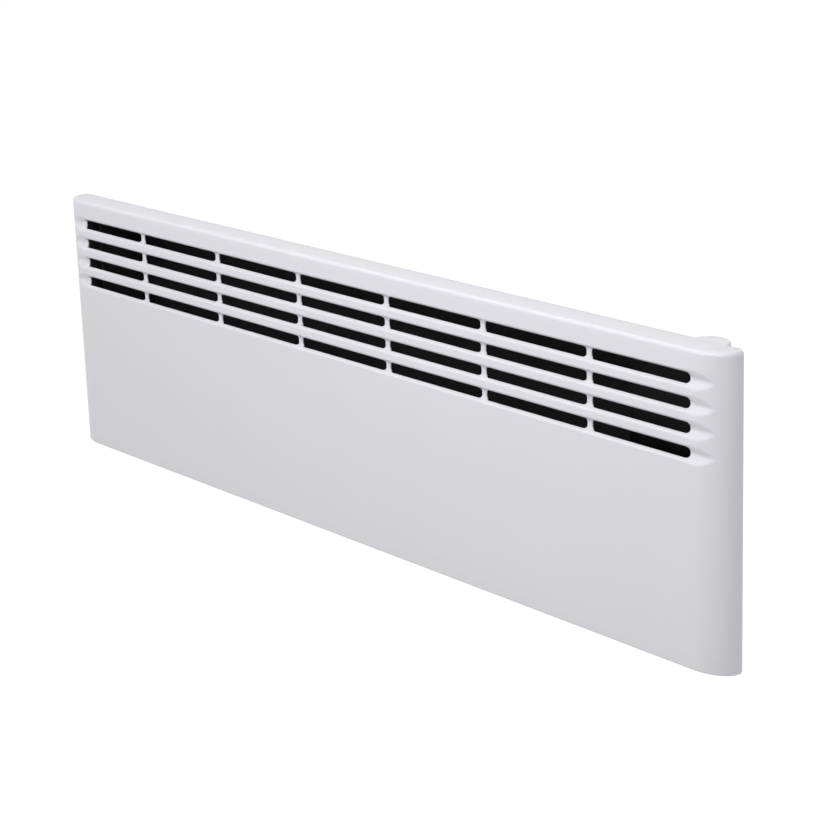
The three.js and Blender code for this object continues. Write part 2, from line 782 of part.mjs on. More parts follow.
// Closes the duct in the front casing's hollow, past the outermost slots.
function ductEnd(side) {
  const x = side < 0 ? fieldLeft - ductEndMargin : fieldHalf + ductEndMargin;
  const frontY = floorBackY + contactGap;
  const rearY = rimFrontY - contactGap;
  const line = [[x, frontY], [x, rearY], [side * windowHalf, rearY]];
  const outline = bentStrip(side < 0 ? line.reverse() : line, shieldSheet);
  return alongZ(outline, ductEndRise, windowTop);
}

piece('rear_heat_shield', rearHeatShield(), 'blackEnamel');
piece('front_heat_shield', frontHeatShield(), 'blackEnamel');
piece('duct_end_left', ductEnd(-1), 'blackEnamel');
piece('duct_end_right', ductEnd(1), 'blackEnamel');

// ---- Heating element ------------------------------------------------------------------------

// Aluminium profile with four wings about a hub, bored for the tube.
function elementFins() {
  const points = [];
  for (const angle of [finAngle, 180 - finAngle, 180 + finAngle, 360 - finAngle]) {
    const c = Math.cos(angle * radians);
    const s = Math.sin(angle * radians);
    const h = finThickness / 2;
    for (const [reach, off] of [[finHub, -h], [finReach, -h], [finReach, h], [finHub, h]]) {
      points.push([elementY + reach * c - off * s, elementZ + reach * s + off * c]);
    }
  }
  const profile = polygon(points);
  const bore = new THREE.Path();
  bore.absarc(elementY, elementZ, tubeRadius + tubeClearance, 0, 2 * Math.PI, true);
  profile.holes.push(bore);
  return alongX(profile, elementLeft + bushLength * 2, elementRight - bushLength * 2, 10);
}

// Sheet bracket on the tray's back, holed for a ceramic bush; the foot points inwards.
function elementBracket(side) {
  const x = side < 0 ? elementLeft + bushLength / 2 : elementRight - bushLength / 2;
  const footY = trayBackY - contactGap;
  const foot = x - side * elementBracketFoot;
  const frontY = flangeY + controlFrontInset;
  const line = [[x, frontY], [x, footY], [foot, footY]];
  const outline = bentStrip(side < 0 ? line.reverse() : line, bracketSheet);
  const plate = alongZ(outline, elementZ - elementBracketHeight / 2, elementZ + elementBracketHeight / 2);
  return cut(plate, rodX(bushRadius + contactGap, x - bushLength, x + bushLength, elementY, elementZ, 20));
}

// Ceramic bush: a ring in the bracket's hole, round the tube.
function elementBush(side) {
  const x = side < 0 ? elementLeft + bushLength / 2 : elementRight - bushLength / 2;
  const ring = rodX(bushRadius, x - bushLength / 2, x + bushLength / 2, elementY, elementZ, 20);
  return cut(ring, rodX(tubeRadius + tubeClearance, x - bushLength, x + bushLength, elementY, elementZ, 20));
}

piece('element_fins', elementFins(), 'aluminium');
piece('element_tube', rodX(tubeRadius, elementLeft, elementRight, elementY, elementZ, 20), 'springSteel');
for (const [side, word] of [[-1, 'left'], [1, 'right']]) {
  piece(`element_bracket_${word}`, elementBracket(side), 'zincSteel');
  piece(`element_bush_${word}`, elementBush(side), 'ceramic');
  const near = side < 0 ? elementLeft - contactGap - terminalLength : elementRight + contactGap;
  const terminal = rodX(terminalRadius, near, near + terminalLength, elementY, elementZ, 12);
  piece(`element_terminal_${word}`, terminal, 'zincSteel');
}

// ---- Overheat cut-out -----------------------------------------------------------------------

function cutoutBracket() {
  const footY = trayBackY - contactGap;
  const outline = bentStrip([
    [footY - cutoutReach, cutoutZ], [footY, cutoutZ], [footY, cutoutZ + cutoutFootHeight]], bracketSheet);
  return alongX(outline, cutoutX - cutoutBracketWidth / 2, cutoutX + cutoutBracketWidth / 2);
}

function overheatCutout() {
  const z0 = cutoutZ - contactGap - cutoutHeight;
  const disc = rodZ(cutoutRadius, z0, z0 + cutoutHeight, cutoutX, cutoutY, 24);
  const tabHalf = cutoutRadius + cutoutTabReach;
  const tab = block(
    cutoutX - tabHalf, cutoutX + tabHalf, cutoutY - cutoutTabWidth / 2, cutoutY + cutoutTabWidth / 2,
    z0 + cutoutTabRise, z0 + cutoutTabRise + bracketSheet);
  return join(disc, tab);
}

piece('cutout_bracket', cutoutBracket(), 'zincSteel');
piece('overheat_cutout', overheatCutout(), 'ceramic');

// ---- Control unit ---------------------------------------------------------------------------

function bossPlaces() {
  const x = [boardLeft + bossRadius, boardRight - bossRadius];
  const z = [boardBottom + bossRadius, boardTop - bossRadius];
  return x.flatMap((bossX) => z.map((bossZ) => [bossX, bossZ]));
}

// Box on the tray's back, open to the front, with four bosses for the board.
function controlHousing() {
  const box = block(controlLeft, controlRight, controlFrontY, controlBackY, controlBottom, controlTop);
  const hollow = block(
    controlLeft + controlWall, controlRight - controlWall, controlFrontY - controlWall,
    controlBackY - controlWall, controlBottom + controlWall, controlTop - controlWall);
  const shell = cut(box, hollow);
  const bosses = bossPlaces().map(
    ([x, z]) => rodY(bossRadius, bossFrontY, controlBackY - controlWall / 2, x, z, 12));
  const leadHole = block(
    controlLeft - controlWall, controlLeft + 2 * controlWall, elementY - bushRadius, elementY + bushRadius,
    elementZ - bushRadius, elementZ + bushRadius);
  const bottomHole = rodZ(
    glandBore, controlBottom - controlWall, controlBottom + 2 * controlWall, glandX, glandY, 16);
  return cut(
    join(shell, ...bosses), leadHole, bottomHole,
    switchOpening(contactGap, controlRight - 2 * controlWall, controlRight + controlWall),
    shaftHole(controlTop - 2 * controlWall, controlTop + controlWall),
    lampHole(controlTop - 2 * controlWall, controlTop + controlWall));
}

function controlCover() {
  const frontY = controlFrontY - contactGap - coverThickness;
  return block(controlLeft, controlRight, frontY, frontY + coverThickness, controlBottom, controlTop);
}

function circuitBoard() {
  return block(boardLeft, boardRight, boardFrontY, boardFrontY + boardThickness, boardBottom, boardTop);
}

// A part that stands on the front of the board, given by its low left corner.
function onBoard(x, z, width, height, depth) {
  const y1 = boardFrontY - contactGap;
  return block(x, x + width, y1 - depth, y1, z, z + height);
}

function terminalBlock() {
  const body = onBoard(blockX, blockZ, blockWidth, blockHeight, blockDepth);
  const poles = 3;
  const pitch = blockWidth / poles;
  const z = blockZ + blockHeight / 2;
  const wells = [...Array(poles).keys()].map((i) => {
    const x = blockX + pitch * (i + 1 / 2);
    return rodY(blockWellRadius, blockFrontY - sheet, blockFrontY + blockWellDepth, x, z, 12);
  });
  return cut(body, ...wells);
}

// Body of the dial's potentiometer, bored for the shaft, under the housing's top wall.
function dialPotentiometer() {
  const z1 = controlTop - controlWall - contactGap;
  const half = potWidth / 2;
  const body = block(dialX - half, dialX + half, dialY - half, dialY + half, z1 - potHeight, z1);
  return cut(body, shaftHole(z1 - potHeight + sheet, z1 + sheet));
}

function dialShaft() {
  const z0 = controlTop - controlWall - potHeight + sheet;
  return rodZ(shaftRadius, z0, trayTop + dialLift + dialHeight / 2 - contactGap, dialX, dialY, 20);
}

// Knob: a drum with a drawn-in top edge, ribs round its side, a blind bore and a pointer notch.
function dial() {
  const z0 = trayTop + dialLift;
  const z1 = z0 + dialHeight;
  const profile = [
    [0, z0], [dialRadius, z0], [dialRadius, z1 - dialEdge], [dialRadius - dialEdge, z1], [0, z1],
  ].map(([r, z]) => new THREE.Vector2(r, z));
  const drum = new THREE.LatheGeometry(profile, 40).rotateX(Math.PI / 2).translate(dialX, dialY, 0);
  const bore = rodZ(shaftRadius + tubeClearance, z0 - dialEdge, z0 + dialHeight / 2, dialX, dialY, 20);
  const notch = block(
    dialX - dialNotch / 2, dialX + dialNotch / 2, dialY - dialRadius - dialEdge, dialY - dialNotchInner,
    z1 - dialNotch / 2, z1 + dialEdge);
  return cut(drum, bore, notch);
}

// Lamp lens: a domed head on the rear casing's top and a stem down into the housing.
function indicatorLens() {
  const x = dialX - lampFromDial;
  const seat = trayTop + contactGap;
  const stemZ = controlTop - controlWall - lampStem;
  const profile = [
    [0, stemZ], [lampRadius, stemZ], [lampRadius, seat], [lampRim, seat],
    [lampRim, seat + lampRimHeight], [lampRadius, seat + (lampRimHeight + lampDome) / 2],
    [0, seat + lampDome],
  ].map(([r, z]) => new THREE.Vector2(r, z));
  return new THREE.LatheGeometry(profile, 16).rotateX(Math.PI / 2).translate(x, dialY, 0);
}

piece('control_housing', controlHousing(), 'blackPlastic');
piece('control_cover', controlCover(), 'blackPlastic');
piece('circuit_board', circuitBoard(), 'circuitGreen');
const relayZ = blockZ + blockHeight + relayRise;
piece('relay', onBoard(boardLeft + relayInset, relayZ, relayWidth, relayHeight, relayDepth), 'relayBlue');
piece('terminal_block', terminalBlock(), 'whitePlastic');
piece('dial_potentiometer', dialPotentiometer(), 'blackPlastic');
piece('dial_shaft', dialShaft(), 'zincSteel');
piece('dial', dial(), 'whitePlastic');
piece('indicator_lens', indicatorLens(), 'amberLens');

// ---- Power switch ---------------------------------------------------------------------------

function switchBody() {
  const seatX = trayHalf + contactGap;
  const frontX = seatX + bezelThickness;
  const bezel = block(
    seatX, frontX, switchY - bezelWidth / 2, switchY + bezelWidth / 2,
    switchZ - bezelHeight / 2, switchZ + bezelHeight / 2);
  const body = switchOpening(0, frontX - switchDepth, seatX + bezelThickness / 2);
  const well = switchOpening(-switchWall, frontX - switchDepth + switchWall, frontX + bezelThickness);
  return cut(join(bezel, body), well);
}

// Rocker: a dished cap on a round hub, tipped to its off side at rest.
function rocker() {
  const outline = polygon([
    [-rockerHub, 0], [-rockerHub / 2, -rockerHub], [rockerSkirt, -rockerReach], [rockerCrown, -rockerReach],
    [rockerDip, 0], [rockerCrown, rockerReach], [rockerSkirt, rockerReach], [-rockerHub / 2, rockerHub],
  ]);
  const width = switchWidth - 2 * (switchWall + rockerGap);
  const geometry = new THREE.ExtrudeGeometry(outline, { depth: width, bevelEnabled: false });
  geometry.applyMatrix4(outOfY).translate(0, width / 2, 0);
  return geometry.rotateY(-rockerHalfAngle * radians).translate(rockerX, switchY, switchZ);
}

piece('switch_body', switchBody(), 'blackPlastic');
piece('rocker', rocker(), 'blackPlastic');

// ---- Cable gland, sensor and leads ----------------------------------------------------------

function cableGland() {
  const seat = trayBottom - contactGap;
  const neckTop = trayBottom + sheet + contactGap + glandNutHeight + glandNeck;
  const tipRadius = (glandHeadRadius + glandBore) / 2;
  const profile = [
    [glandBore, seat - glandHeadHeight], [tipRadius, seat - glandHeadHeight],
    [glandHeadRadius, seat - glandHeadHeight / 2], [glandHeadRadius, seat], [glandRadius, seat],
    [glandRadius, neckTop], [glandBore, neckTop], [glandBore, seat - glandHeadHeight],
  ].map(([r, z]) => new THREE.Vector2(r, z));
  return new THREE.LatheGeometry(profile, 20).rotateX(Math.PI / 2).translate(glandX, glandY, 0);
}

function glandNut() {
  const z0 = trayBottom + sheet + contactGap;
  const nut = rodZ(glandHeadRadius, z0, z0 + glandNutHeight, glandX, glandY, 6);
  const bore = rodZ(
    glandRadius + contactGap, z0 - glandNeck, z0 + glandNutHeight + glandNeck, glandX, glandY, 20);
  return cut(nut, bore);
}

// Thermistor capsule that stands on the tray's bottom in the incoming air.
function airSensor() {
  const z0 = trayBottom + sheet + contactGap;
  const footTop = z0 + sensorFootHeight;
  const profile = [
    [0, z0], [sensorFootRadius, z0], [sensorFootRadius, footTop], [sensorRadius, footTop + sensorTaper],
    [sensorRadius, z0 + sensorLength - sensorRadius], [0, z0 + sensorLength],
  ].map(([r, z]) => new THREE.Vector2(r, z));
  return new THREE.LatheGeometry(profile, 12).rotateX(Math.PI / 2).translate(sensorX, glandY, 0);
}

// An insulated lead through its points.
function lead(points, steps) {
  const curve = new THREE.CatmullRomCurve3(points.map(([x, y, z]) => new THREE.Vector3(x, y, z)));
  const section = new THREE.Shape();
  section.absarc(0, 0, leadRadius, 0, 2 * Math.PI);
  return new THREE.ExtrudeGeometry(
    section, { steps, extrudePath: curve, curveSegments: 4, bevelEnabled: false });
}

// From the terminal block's front, out of the housing, to the element's right terminal.
function neutralLead() {
  const start = elementRight + contactGap + terminalLength + contactGap;
  return lead([
    [start, elementY, elementZ],
    [start + leadEntry, elementY, elementZ],
    [blockX - 4, elementY, elementZ + 3],
    [blockX + 2, blockFrontY - leadExit - 1, blockZ + blockHeight * 0.7],
    [blockX + blockWidth / 6, blockFrontY - leadExit, blockZ + blockHeight / 2],
    [blockX + blockWidth / 6, blockFrontY - contactGap, blockZ + blockHeight / 2],
  ], 18);
}

// From the terminal block up to the switch.
function liveLead() {
  const x = blockX + blockWidth * 5 / 6;
  const switchBackX = trayHalf + contactGap + bezelThickness - switchDepth - contactGap;
  return lead([
    [x, blockFrontY - contactGap, blockZ + blockHeight / 2],
    [x, blockFrontY - leadExit, blockZ + blockHeight / 2],
    [x + 1, blockFrontY - leadExit, blockZ + blockHeight + 10],
    [switchBackX - leadSwitchSlack, switchY - 2, switchZ - leadSwitchDrop],
    [switchBackX - 2 * leadExit, switchY, switchZ - leadExit],
    [switchBackX - leadExit, switchY, switchZ],
    [switchBackX, switchY, switchZ],
  ], 22);
}

// From the element's left terminal, back along the tray's lower corner, to the cut-out.
function returnLead() {
  const left = elementLeft - contactGap - terminalLength - contactGap;
  const runY = trayBackY - contactGap - 2 * leadRadius;
  const runZ = elementZ + elementBracketHeight / 2 + leadRadius + 2;
  const runFrom = elementLeft + leadRunStart;
  const runTo = cutoutX - leadRunEnd;
  const spans = Math.max(Math.floor((runTo - runFrom) / leadRunStep), 1);
  const run = [...Array(spans + 1).keys()].map(
    (i) => [runFrom + (runTo - runFrom) * i / spans, runY, runZ]);
  const tabX = cutoutX - cutoutRadius - cutoutTabReach - contactGap;
  const tabZ = cutoutZ - contactGap - cutoutHeight / 2;
  return lead([
    [left, elementY, elementZ],
    [left - leadExit, elementY, elementZ],
    [left - leadExit - 1, elementY + leadLoopDepth, elementZ + leadLoopRise],
    [left + 1, runY - leadExit, runZ - leadLoopDepth],
    [left + 10, runY, runZ],
    ...run,
    [tabX - leadTurn, runY - leadExit, runZ - 3],
    [tabX - 2 * leadExit, cutoutY, tabZ],
    [tabX - leadExit, cutoutY, tabZ],
    [tabX, cutoutY, tabZ],
  ], 40);
}

piece('cable_gland', cableGland(), 'blackPlastic');
piece('gland_nut', glandNut(), 'blackPlastic');
piece('air_sensor', airSensor(), 'blackPlastic');
piece('lead_live', liveLead(), 'brownLead');
piece('lead_neutral', neutralLead(), 'blueLead');
piece('lead_return', returnLead(), 'greyLead');

// ---- Hanging lugs and hinge pins ------------------------------------------------------------

// Base on the tray's back and a tongue with an eye round the pin.
function hangerLug(side) {
  const x = side * uprightX;
  const baseBack = backY + contactGap;
  const baseBottom = pinZ - lugBelowPin;
  const base = block(
    x - lugBaseWidth / 2, x + lugBaseWidth / 2, baseBack, baseBack + lugSheet,
    baseBottom, baseBottom + lugBaseHeight);
  const tongueShape = new THREE.Shape();
  tongueShape.moveTo(baseBack + lugSheet / 2, pinZ - lugEye);
  tongueShape.lineTo(pinY, pinZ - lugEye);
  tongueShape.absarc(pinY, pinZ, lugEye, -Math.PI / 2, Math.PI / 2);
  tongueShape.lineTo(baseBack + lugSheet / 2, pinZ + lugEye);
  const tongue = alongX(tongueShape, x - lugTongue / 2, x + lugTongue / 2);
  const eye = rodX(pinRadius + pinFit, x - lugTongue, x + lugTongue, pinY, pinZ, 24);
  const place = { x, z: lugScrewPlaces()[0].z };
  const hole = rodY(
    screwShank / 2 + screwClearance, baseBack - lugSheet, baseBack + 2 * lugSheet, x, place.z, 12);
  return cut(join(base, tongue), eye, hole);
}

for (const [side, word] of [[-1, 'left'], [1, 'right']]) {
  const x = side * uprightX;
  const pinHalf = uprightWidth / 2 + pinOverhang;
  piece(`hanger_lug_${word}`, hangerLug(side), 'zincSteel');
  piece(`hinge_pin_${word}`, rodX(pinRadius, x - pinHalf, x + pinHalf, pinY, pinZ, 24), 'zincSteel');
  const geometry = screw(screwHead / 2, screwHeadHeight, screwShank / 2, screwLength);
  geometry.translate(x, backY + contactGap + lugSheet + contactGap, lugScrewPlaces()[0].z);
  piece(`lug_screw_${word}`, geometry, 'zincSteel');
}

// ---- Wall bracket ---------------------------------------------------------------------------

// Side flange of an upright, with the open hook at its foot.
function hookFlange() {
  const saddle = pinRadius + saddleFit;
  const outer = saddle + hookTip;
  const upperFlangeY = -uprightFlangeDepth + uprightFlangeStep;
  const shape = new THREE.Shape();
  shape.moveTo(0, uprightBottom);
  shape.lineTo(-uprightFlangeDepth, uprightBottom);
  shape.lineTo(pinY, pinZ - outer);
  shape.absarc(pinY, pinZ, outer, -Math.PI / 2, -Math.PI, true);
  shape.lineTo(pinY - outer, pinZ + hookShoulder);
  shape.lineTo(pinY - outer + hookTip / 2, pinZ + hookTipRise);
  shape.lineTo(pinY - saddle, pinZ + hookMouthRise);
  shape.lineTo(pinY - saddle, pinZ);
  shape.absarc(pinY, pinZ, saddle, Math.PI, 2 * Math.PI, false);
  shape.lineTo(pinY + saddle, pinZ + hookThroatRise);
  shape.lineTo(upperFlangeY, pinZ + hookBackRise);
  shape.lineTo(upperFlangeY, uprightTop - uprightTopTaper);
  shape.lineTo(upperFlangeY + uprightTopTaper, uprightTop);
  shape.lineTo(0, uprightTop);
  return shape;
}

function bracketUpright(side) {
  const x = side * uprightX;
  const half = uprightWidth / 2;
  const web = block(x - half, x + half, -uprightSheet, 0, uprightBottom, uprightTop);
  const leftFlange = alongX(hookFlange(), x - half, x - half + uprightSheet);
  const rightFlange = alongX(hookFlange(), x + half - uprightSheet, x + half);
  const wallHoles = [wallHoleRise, -wallHoleRise].map(
    (z) => rodY(wallHoleRadius, -2 * uprightSheet, uprightSheet, x, z, 20));
  const passage = block(
    x - half - sheet, x + half + sheet, -uprightFlangeDepth - sheet, -uprightSheet,
    -railHeight / 2 - contactGap, railHeight / 2 + contactGap);
  const rivetHoles = rivetPlaces(side).map(
    (place) => rodY(rivetRadius + contactGap, -2 * uprightSheet, uprightSheet, place.x, place.z, 12));
  const clipHole = rodY(rivetRadius + contactGap, -2 * uprightSheet, uprightSheet, x, clipRivetZ(), 12);
  return cut(join(web, leftFlange, rightFlange), passage, ...wallHoles, ...rivetHoles, clipHole);
}

function rivetPlaces(side) {
  const x = side * uprightX;
  return [-1, 1].map((half) => ({ x, z: half * railHeight / 4 }));
}

function clipRivetZ() {
  return (clipFootBottom + clipFootTop) / 2;
}

// Cross rail: on the wall between the uprights, joggled to lie on their webs at its ends.
function bracketRail() {
  const onWeb = -uprightSheet - contactGap;
  const inner = uprightX - uprightWidth / 2 - contactGap - railStart;
  const outer = uprightX + uprightWidth / 2;
  const outline = bentStrip([
    [outer, onWeb], [inner, onWeb], [inner - railJoggle, 0],
    [-inner + railJoggle, 0], [-inner, onWeb], [-outer, onWeb],
  ], railSheet);
  const rail = alongZ(outline, -railHeight / 2, railHeight / 2);
  const holes = [...rivetPlaces(-1), ...rivetPlaces(1)].map(
    (place) => rodY(rivetRadius + contactGap, -4 * railSheet, railSheet, place.x, place.z, 12));
  return cut(rail, ...holes);
}

// A rivet from the wall face of a web to its low head, whose seat is given.
function rivet(place, seat) {
  const profile = [
    [0, -seat - rivetHeadHeight], [rivetHead / 2, -seat - rivetHeadHeight],
    [rivetHead, -seat - rivetHeadHeight / 2], [rivetHead, -seat],
    [rivetRadius, -seat], [rivetRadius, 0], [0, 0],
  ].map(([r, y]) => new THREE.Vector2(r, y));
  return new THREE.LatheGeometry(profile, 10).translate(place.x, 0, place.z);
}

// Spring strip riveted to the upright's web, bent forward to a nose behind the tray's wall.
function bracketClip(side) {
  const x = side * uprightX;
  const webY = -uprightSheet - contactGap;
  const noseY = trayBackY - contactGap - clipSheet;
  const outline = bentStrip([
    [webY, clipFootBottom],
    [webY, clipFootTop],
    [webY - clipBendDepth, clipNoseZ - clipBendDrop],
    [backY + clipWallRoom, clipNoseZ - clipWallDrop],
    [noseY - clipSheet, clipNoseZ - clipNoseRound],
    [noseY - clipSheet, clipNoseZ + clipCatch + clipLipRise],
  ].reverse(), -clipSheet);
  const strip = alongX(outline, x - clipWidth / 2, x + clipWidth / 2);
  return cut(strip, rodY(rivetRadius + contactGap, webY - 4 * clipSheet, webY + sheet, x, clipRivetZ(), 12));
}

for (const [side, word] of [[-1, 'left'], [1, 'right']]) {
  piece(`bracket_upright_${word}`, bracketUpright(side), 'zincSteel');
  piece(`bracket_clip_${word}`, bracketClip(side), 'springSteel');
  const seat = uprightSheet + contactGap + clipSheet + contactGap;
  const place = { x: side * uprightX, z: clipRivetZ() };
  piece(`clip_rivet_${word}`, rivet(place, seat), 'zincSteel');
}
piece('bracket_rail', bracketRail(), 'zincSteel');
[...rivetPlaces(-1), ...rivetPlaces(1)].forEach((place, i) => {
  const seat = uprightSheet + contactGap + railSheet + contactGap;
  piece(`rail_rivet_${i + 1}`, rivet(place, seat), 'zincSteel');
});

export default heater;
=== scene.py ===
"""Wall panel convector heater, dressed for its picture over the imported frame.

Everything is in metres and in the frame's own axes: X to the heater's right, -Y out of its face,
+Z up, with the wall at Y = 0. Each sub-assembly is a class whose fields are its sizes.
"""

import logging
import math
import sys
from collections.abc import Callable, Iterator
from contextlib import contextmanager
from dataclasses import dataclass, field
from enum import Enum

import bmesh
import bpy
from mathutils import Matrix, Vector
from mathutils.bvhtree import BVHTree


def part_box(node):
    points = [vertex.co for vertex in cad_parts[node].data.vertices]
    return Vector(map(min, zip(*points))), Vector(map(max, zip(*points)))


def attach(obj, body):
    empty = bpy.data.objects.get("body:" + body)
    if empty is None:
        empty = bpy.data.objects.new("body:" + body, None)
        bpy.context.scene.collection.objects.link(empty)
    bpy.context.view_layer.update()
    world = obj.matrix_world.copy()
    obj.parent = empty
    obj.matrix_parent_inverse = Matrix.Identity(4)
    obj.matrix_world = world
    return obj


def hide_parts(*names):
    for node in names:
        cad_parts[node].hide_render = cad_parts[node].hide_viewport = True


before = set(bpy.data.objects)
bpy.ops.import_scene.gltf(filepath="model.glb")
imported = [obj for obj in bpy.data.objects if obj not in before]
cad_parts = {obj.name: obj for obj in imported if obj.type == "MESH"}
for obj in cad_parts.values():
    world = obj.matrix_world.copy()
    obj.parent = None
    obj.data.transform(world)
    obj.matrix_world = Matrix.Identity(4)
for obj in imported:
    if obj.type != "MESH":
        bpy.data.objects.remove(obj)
log = logging.getLogger("heater")

Point = tuple[float, float, float]
Flat = tuple[float, float]
Colour = tuple[float, float, float]
Object = bpy.types.Object
Socket = bpy.types.NodeSocket
Edge = bmesh.types.BMEdge
Faces = list[tuple[int, ...]]
Line = Callable[[float], float]

# No stretch along any axis.
EVEN: Point = (1.0, 1.0, 1.0)

# Share of a noise's range at which a finish reaches its two ends.
NOISE_LOW, NOISE_HIGH = 0.3, 0.7

# Points of a frame mesh closer than this are one point.
WELD = 2e-6

# Lengths nearer than a hair are the same. Points nearer than a touch to a plane lie on it.
HAIR, TOUCH = 1e-6, 0.0001

# Faces that meet at less than this many degrees are one flat face, at more than that a cut edge.
FLAT_ANGLE, EDGE_ANGLE = 0.4, 40.0

# Cosine of the sharpest turn at which a bend carries on from one edge to the next.
RUN_ON_COSINE = 0.8

# A figure's height as a share of its font's size, and the steps of its curves.
FIGURE_SHARE, FIGURE_STEPS = 0.7, 4


class Body(Enum):
    """The frame's rigid bodies, which the pieces ride on."""

    BRACKET = "wall_bracket"
    HEATER = "heater"
    DIAL = "dial"
    ROCKER = "rocker"


# ---- Finishes -------------------------------------------------------------------------------


class Relief(Enum):
    """The fine surface relief of a finish."""

    ORANGE_PEEL = "orange peel of a baked powder coat"
    SPANGLE = "crystals of hot-dip zinc"
    BRUSHED = "drawn lines along the sheet"
    MOULDED = "spark texture of a moulding"
    FIRED = "grain of fired clay"
    LACQUER = "thin lacquer over a woven board"


class Shader:
    """A material's node tree while it is being wired."""

    def __init__(self, name: str) -> None:
        """Makes an empty material with its shader and output.

        Args:
            name: The material's name.
        """
        self.material = bpy.data.materials.new(name)
        self.material.use_nodes = True
        self.nodes = self.material.node_tree.nodes
        self.links = self.material.node_tree.links
        self.nodes.clear()
        output = self.nodes.new("ShaderNodeOutputMaterial")
        self.surface = self.nodes.new("ShaderNodeBsdfPrincipled")
        self.links.new(self.surface.outputs["BSDF"], output.inputs["Surface"])
        self.place = self.nodes.new("ShaderNodeTexCoord").outputs["Object"]

    def mapped(self, scale: Point) -> Socket:
        """Object coordinates stretched by a scale.

        Args:
            scale: The stretch along each axis.

        Returns:
            The mapped coordinates.
        """
        mapping = self.nodes.new("ShaderNodeMapping")
        mapping.inputs["Scale"].default_value = scale
        self.links.new(self.place, mapping.inputs["Vector"])
        return mapping.outputs["Vector"]

    def noise(self, where: Socket, scale: float, detail: float = 2.0) -> Socket:
        """Soft noise at a place.

        Args:
            where: The coordinates it reads.
            scale: Cycles per unit of those coordinates.
            detail: Octaves of finer noise.

        Returns:
            The noise's value, about 0.5 on average.
        """
        texture = self.nodes.new("ShaderNodeTexNoise")
        texture.inputs["Scale"].default_value = scale
        texture.inputs["Detail"].default_value = detail
        self.links.new(where, texture.inputs["Vector"])
        return texture.outputs["Fac"]

    def cells(self, where: Socket, scale: float) -> Socket:
        """Cells of even tone, each with its own random value.

        Args:
            where: The coordinates it reads.
            scale: Cells per unit of those coordinates.

        Returns:
            The cells' random colour.
        """
        texture = self.nodes.new("ShaderNodeTexVoronoi")
        texture.inputs["Scale"].default_value = scale
        self.links.new(where, texture.inputs["Vector"])
        return texture.outputs["Color"]

    def ranged(self, value: Socket, low: float, high: float) -> Socket:
        """Maps the middle of a noise onto a range.

        Args:
            value: The noise.
            low: What its low end becomes.
            high: What its high end becomes.

        Returns:
            The mapped value.
        """
        spread = self.nodes.new("ShaderNodeMapRange")
        spread.inputs["From Min"].default_value = NOISE_LOW
        spread.inputs["From Max"].default_value = NOISE_HIGH
        spread.inputs["To Min"].default_value = low
        spread.inputs["To Max"].default_value = high
        self.links.new(value, spread.inputs["Value"])
        return spread.outputs["Result"]

    def tinted(self, value: Socket, dark: Colour, light: Colour) -> None:
        """Colours the surface between two tones.

        Args:
            value: What mixes them.
            dark: The tone at its low end.
            light: The tone at its high end.
        """
        ramp = self.nodes.new("ShaderNodeValToRGB")
        for stop, place, tone in zip(ramp.color_ramp.elements, (NOISE_LOW, NOISE_HIGH), (dark, light)):
            stop.position = place
            stop.color = (*tone, 1.0)
        self.links.new(value, ramp.inputs["Fac"])
        self.links.new(ramp.outputs["Color"], self.surface.inputs["Base Color"])

    def bumped(self, height: Socket, distance: float, strength: float) -> None:
        """Raises the surface by a height.

        Args:
            height: The height's value.
            distance: Metres that a height of one stands for.
            strength: Share of the effect.
        """
        bump = self.nodes.new("ShaderNodeBump")
        bump.inputs["Distance"].default_value = distance
        bump.inputs["Strength"].default_value = strength
        self.links.new(height, bump.inputs["Height"])
        self.links.new(bump.outputs["Normal"], self.surface.inputs["Normal"])


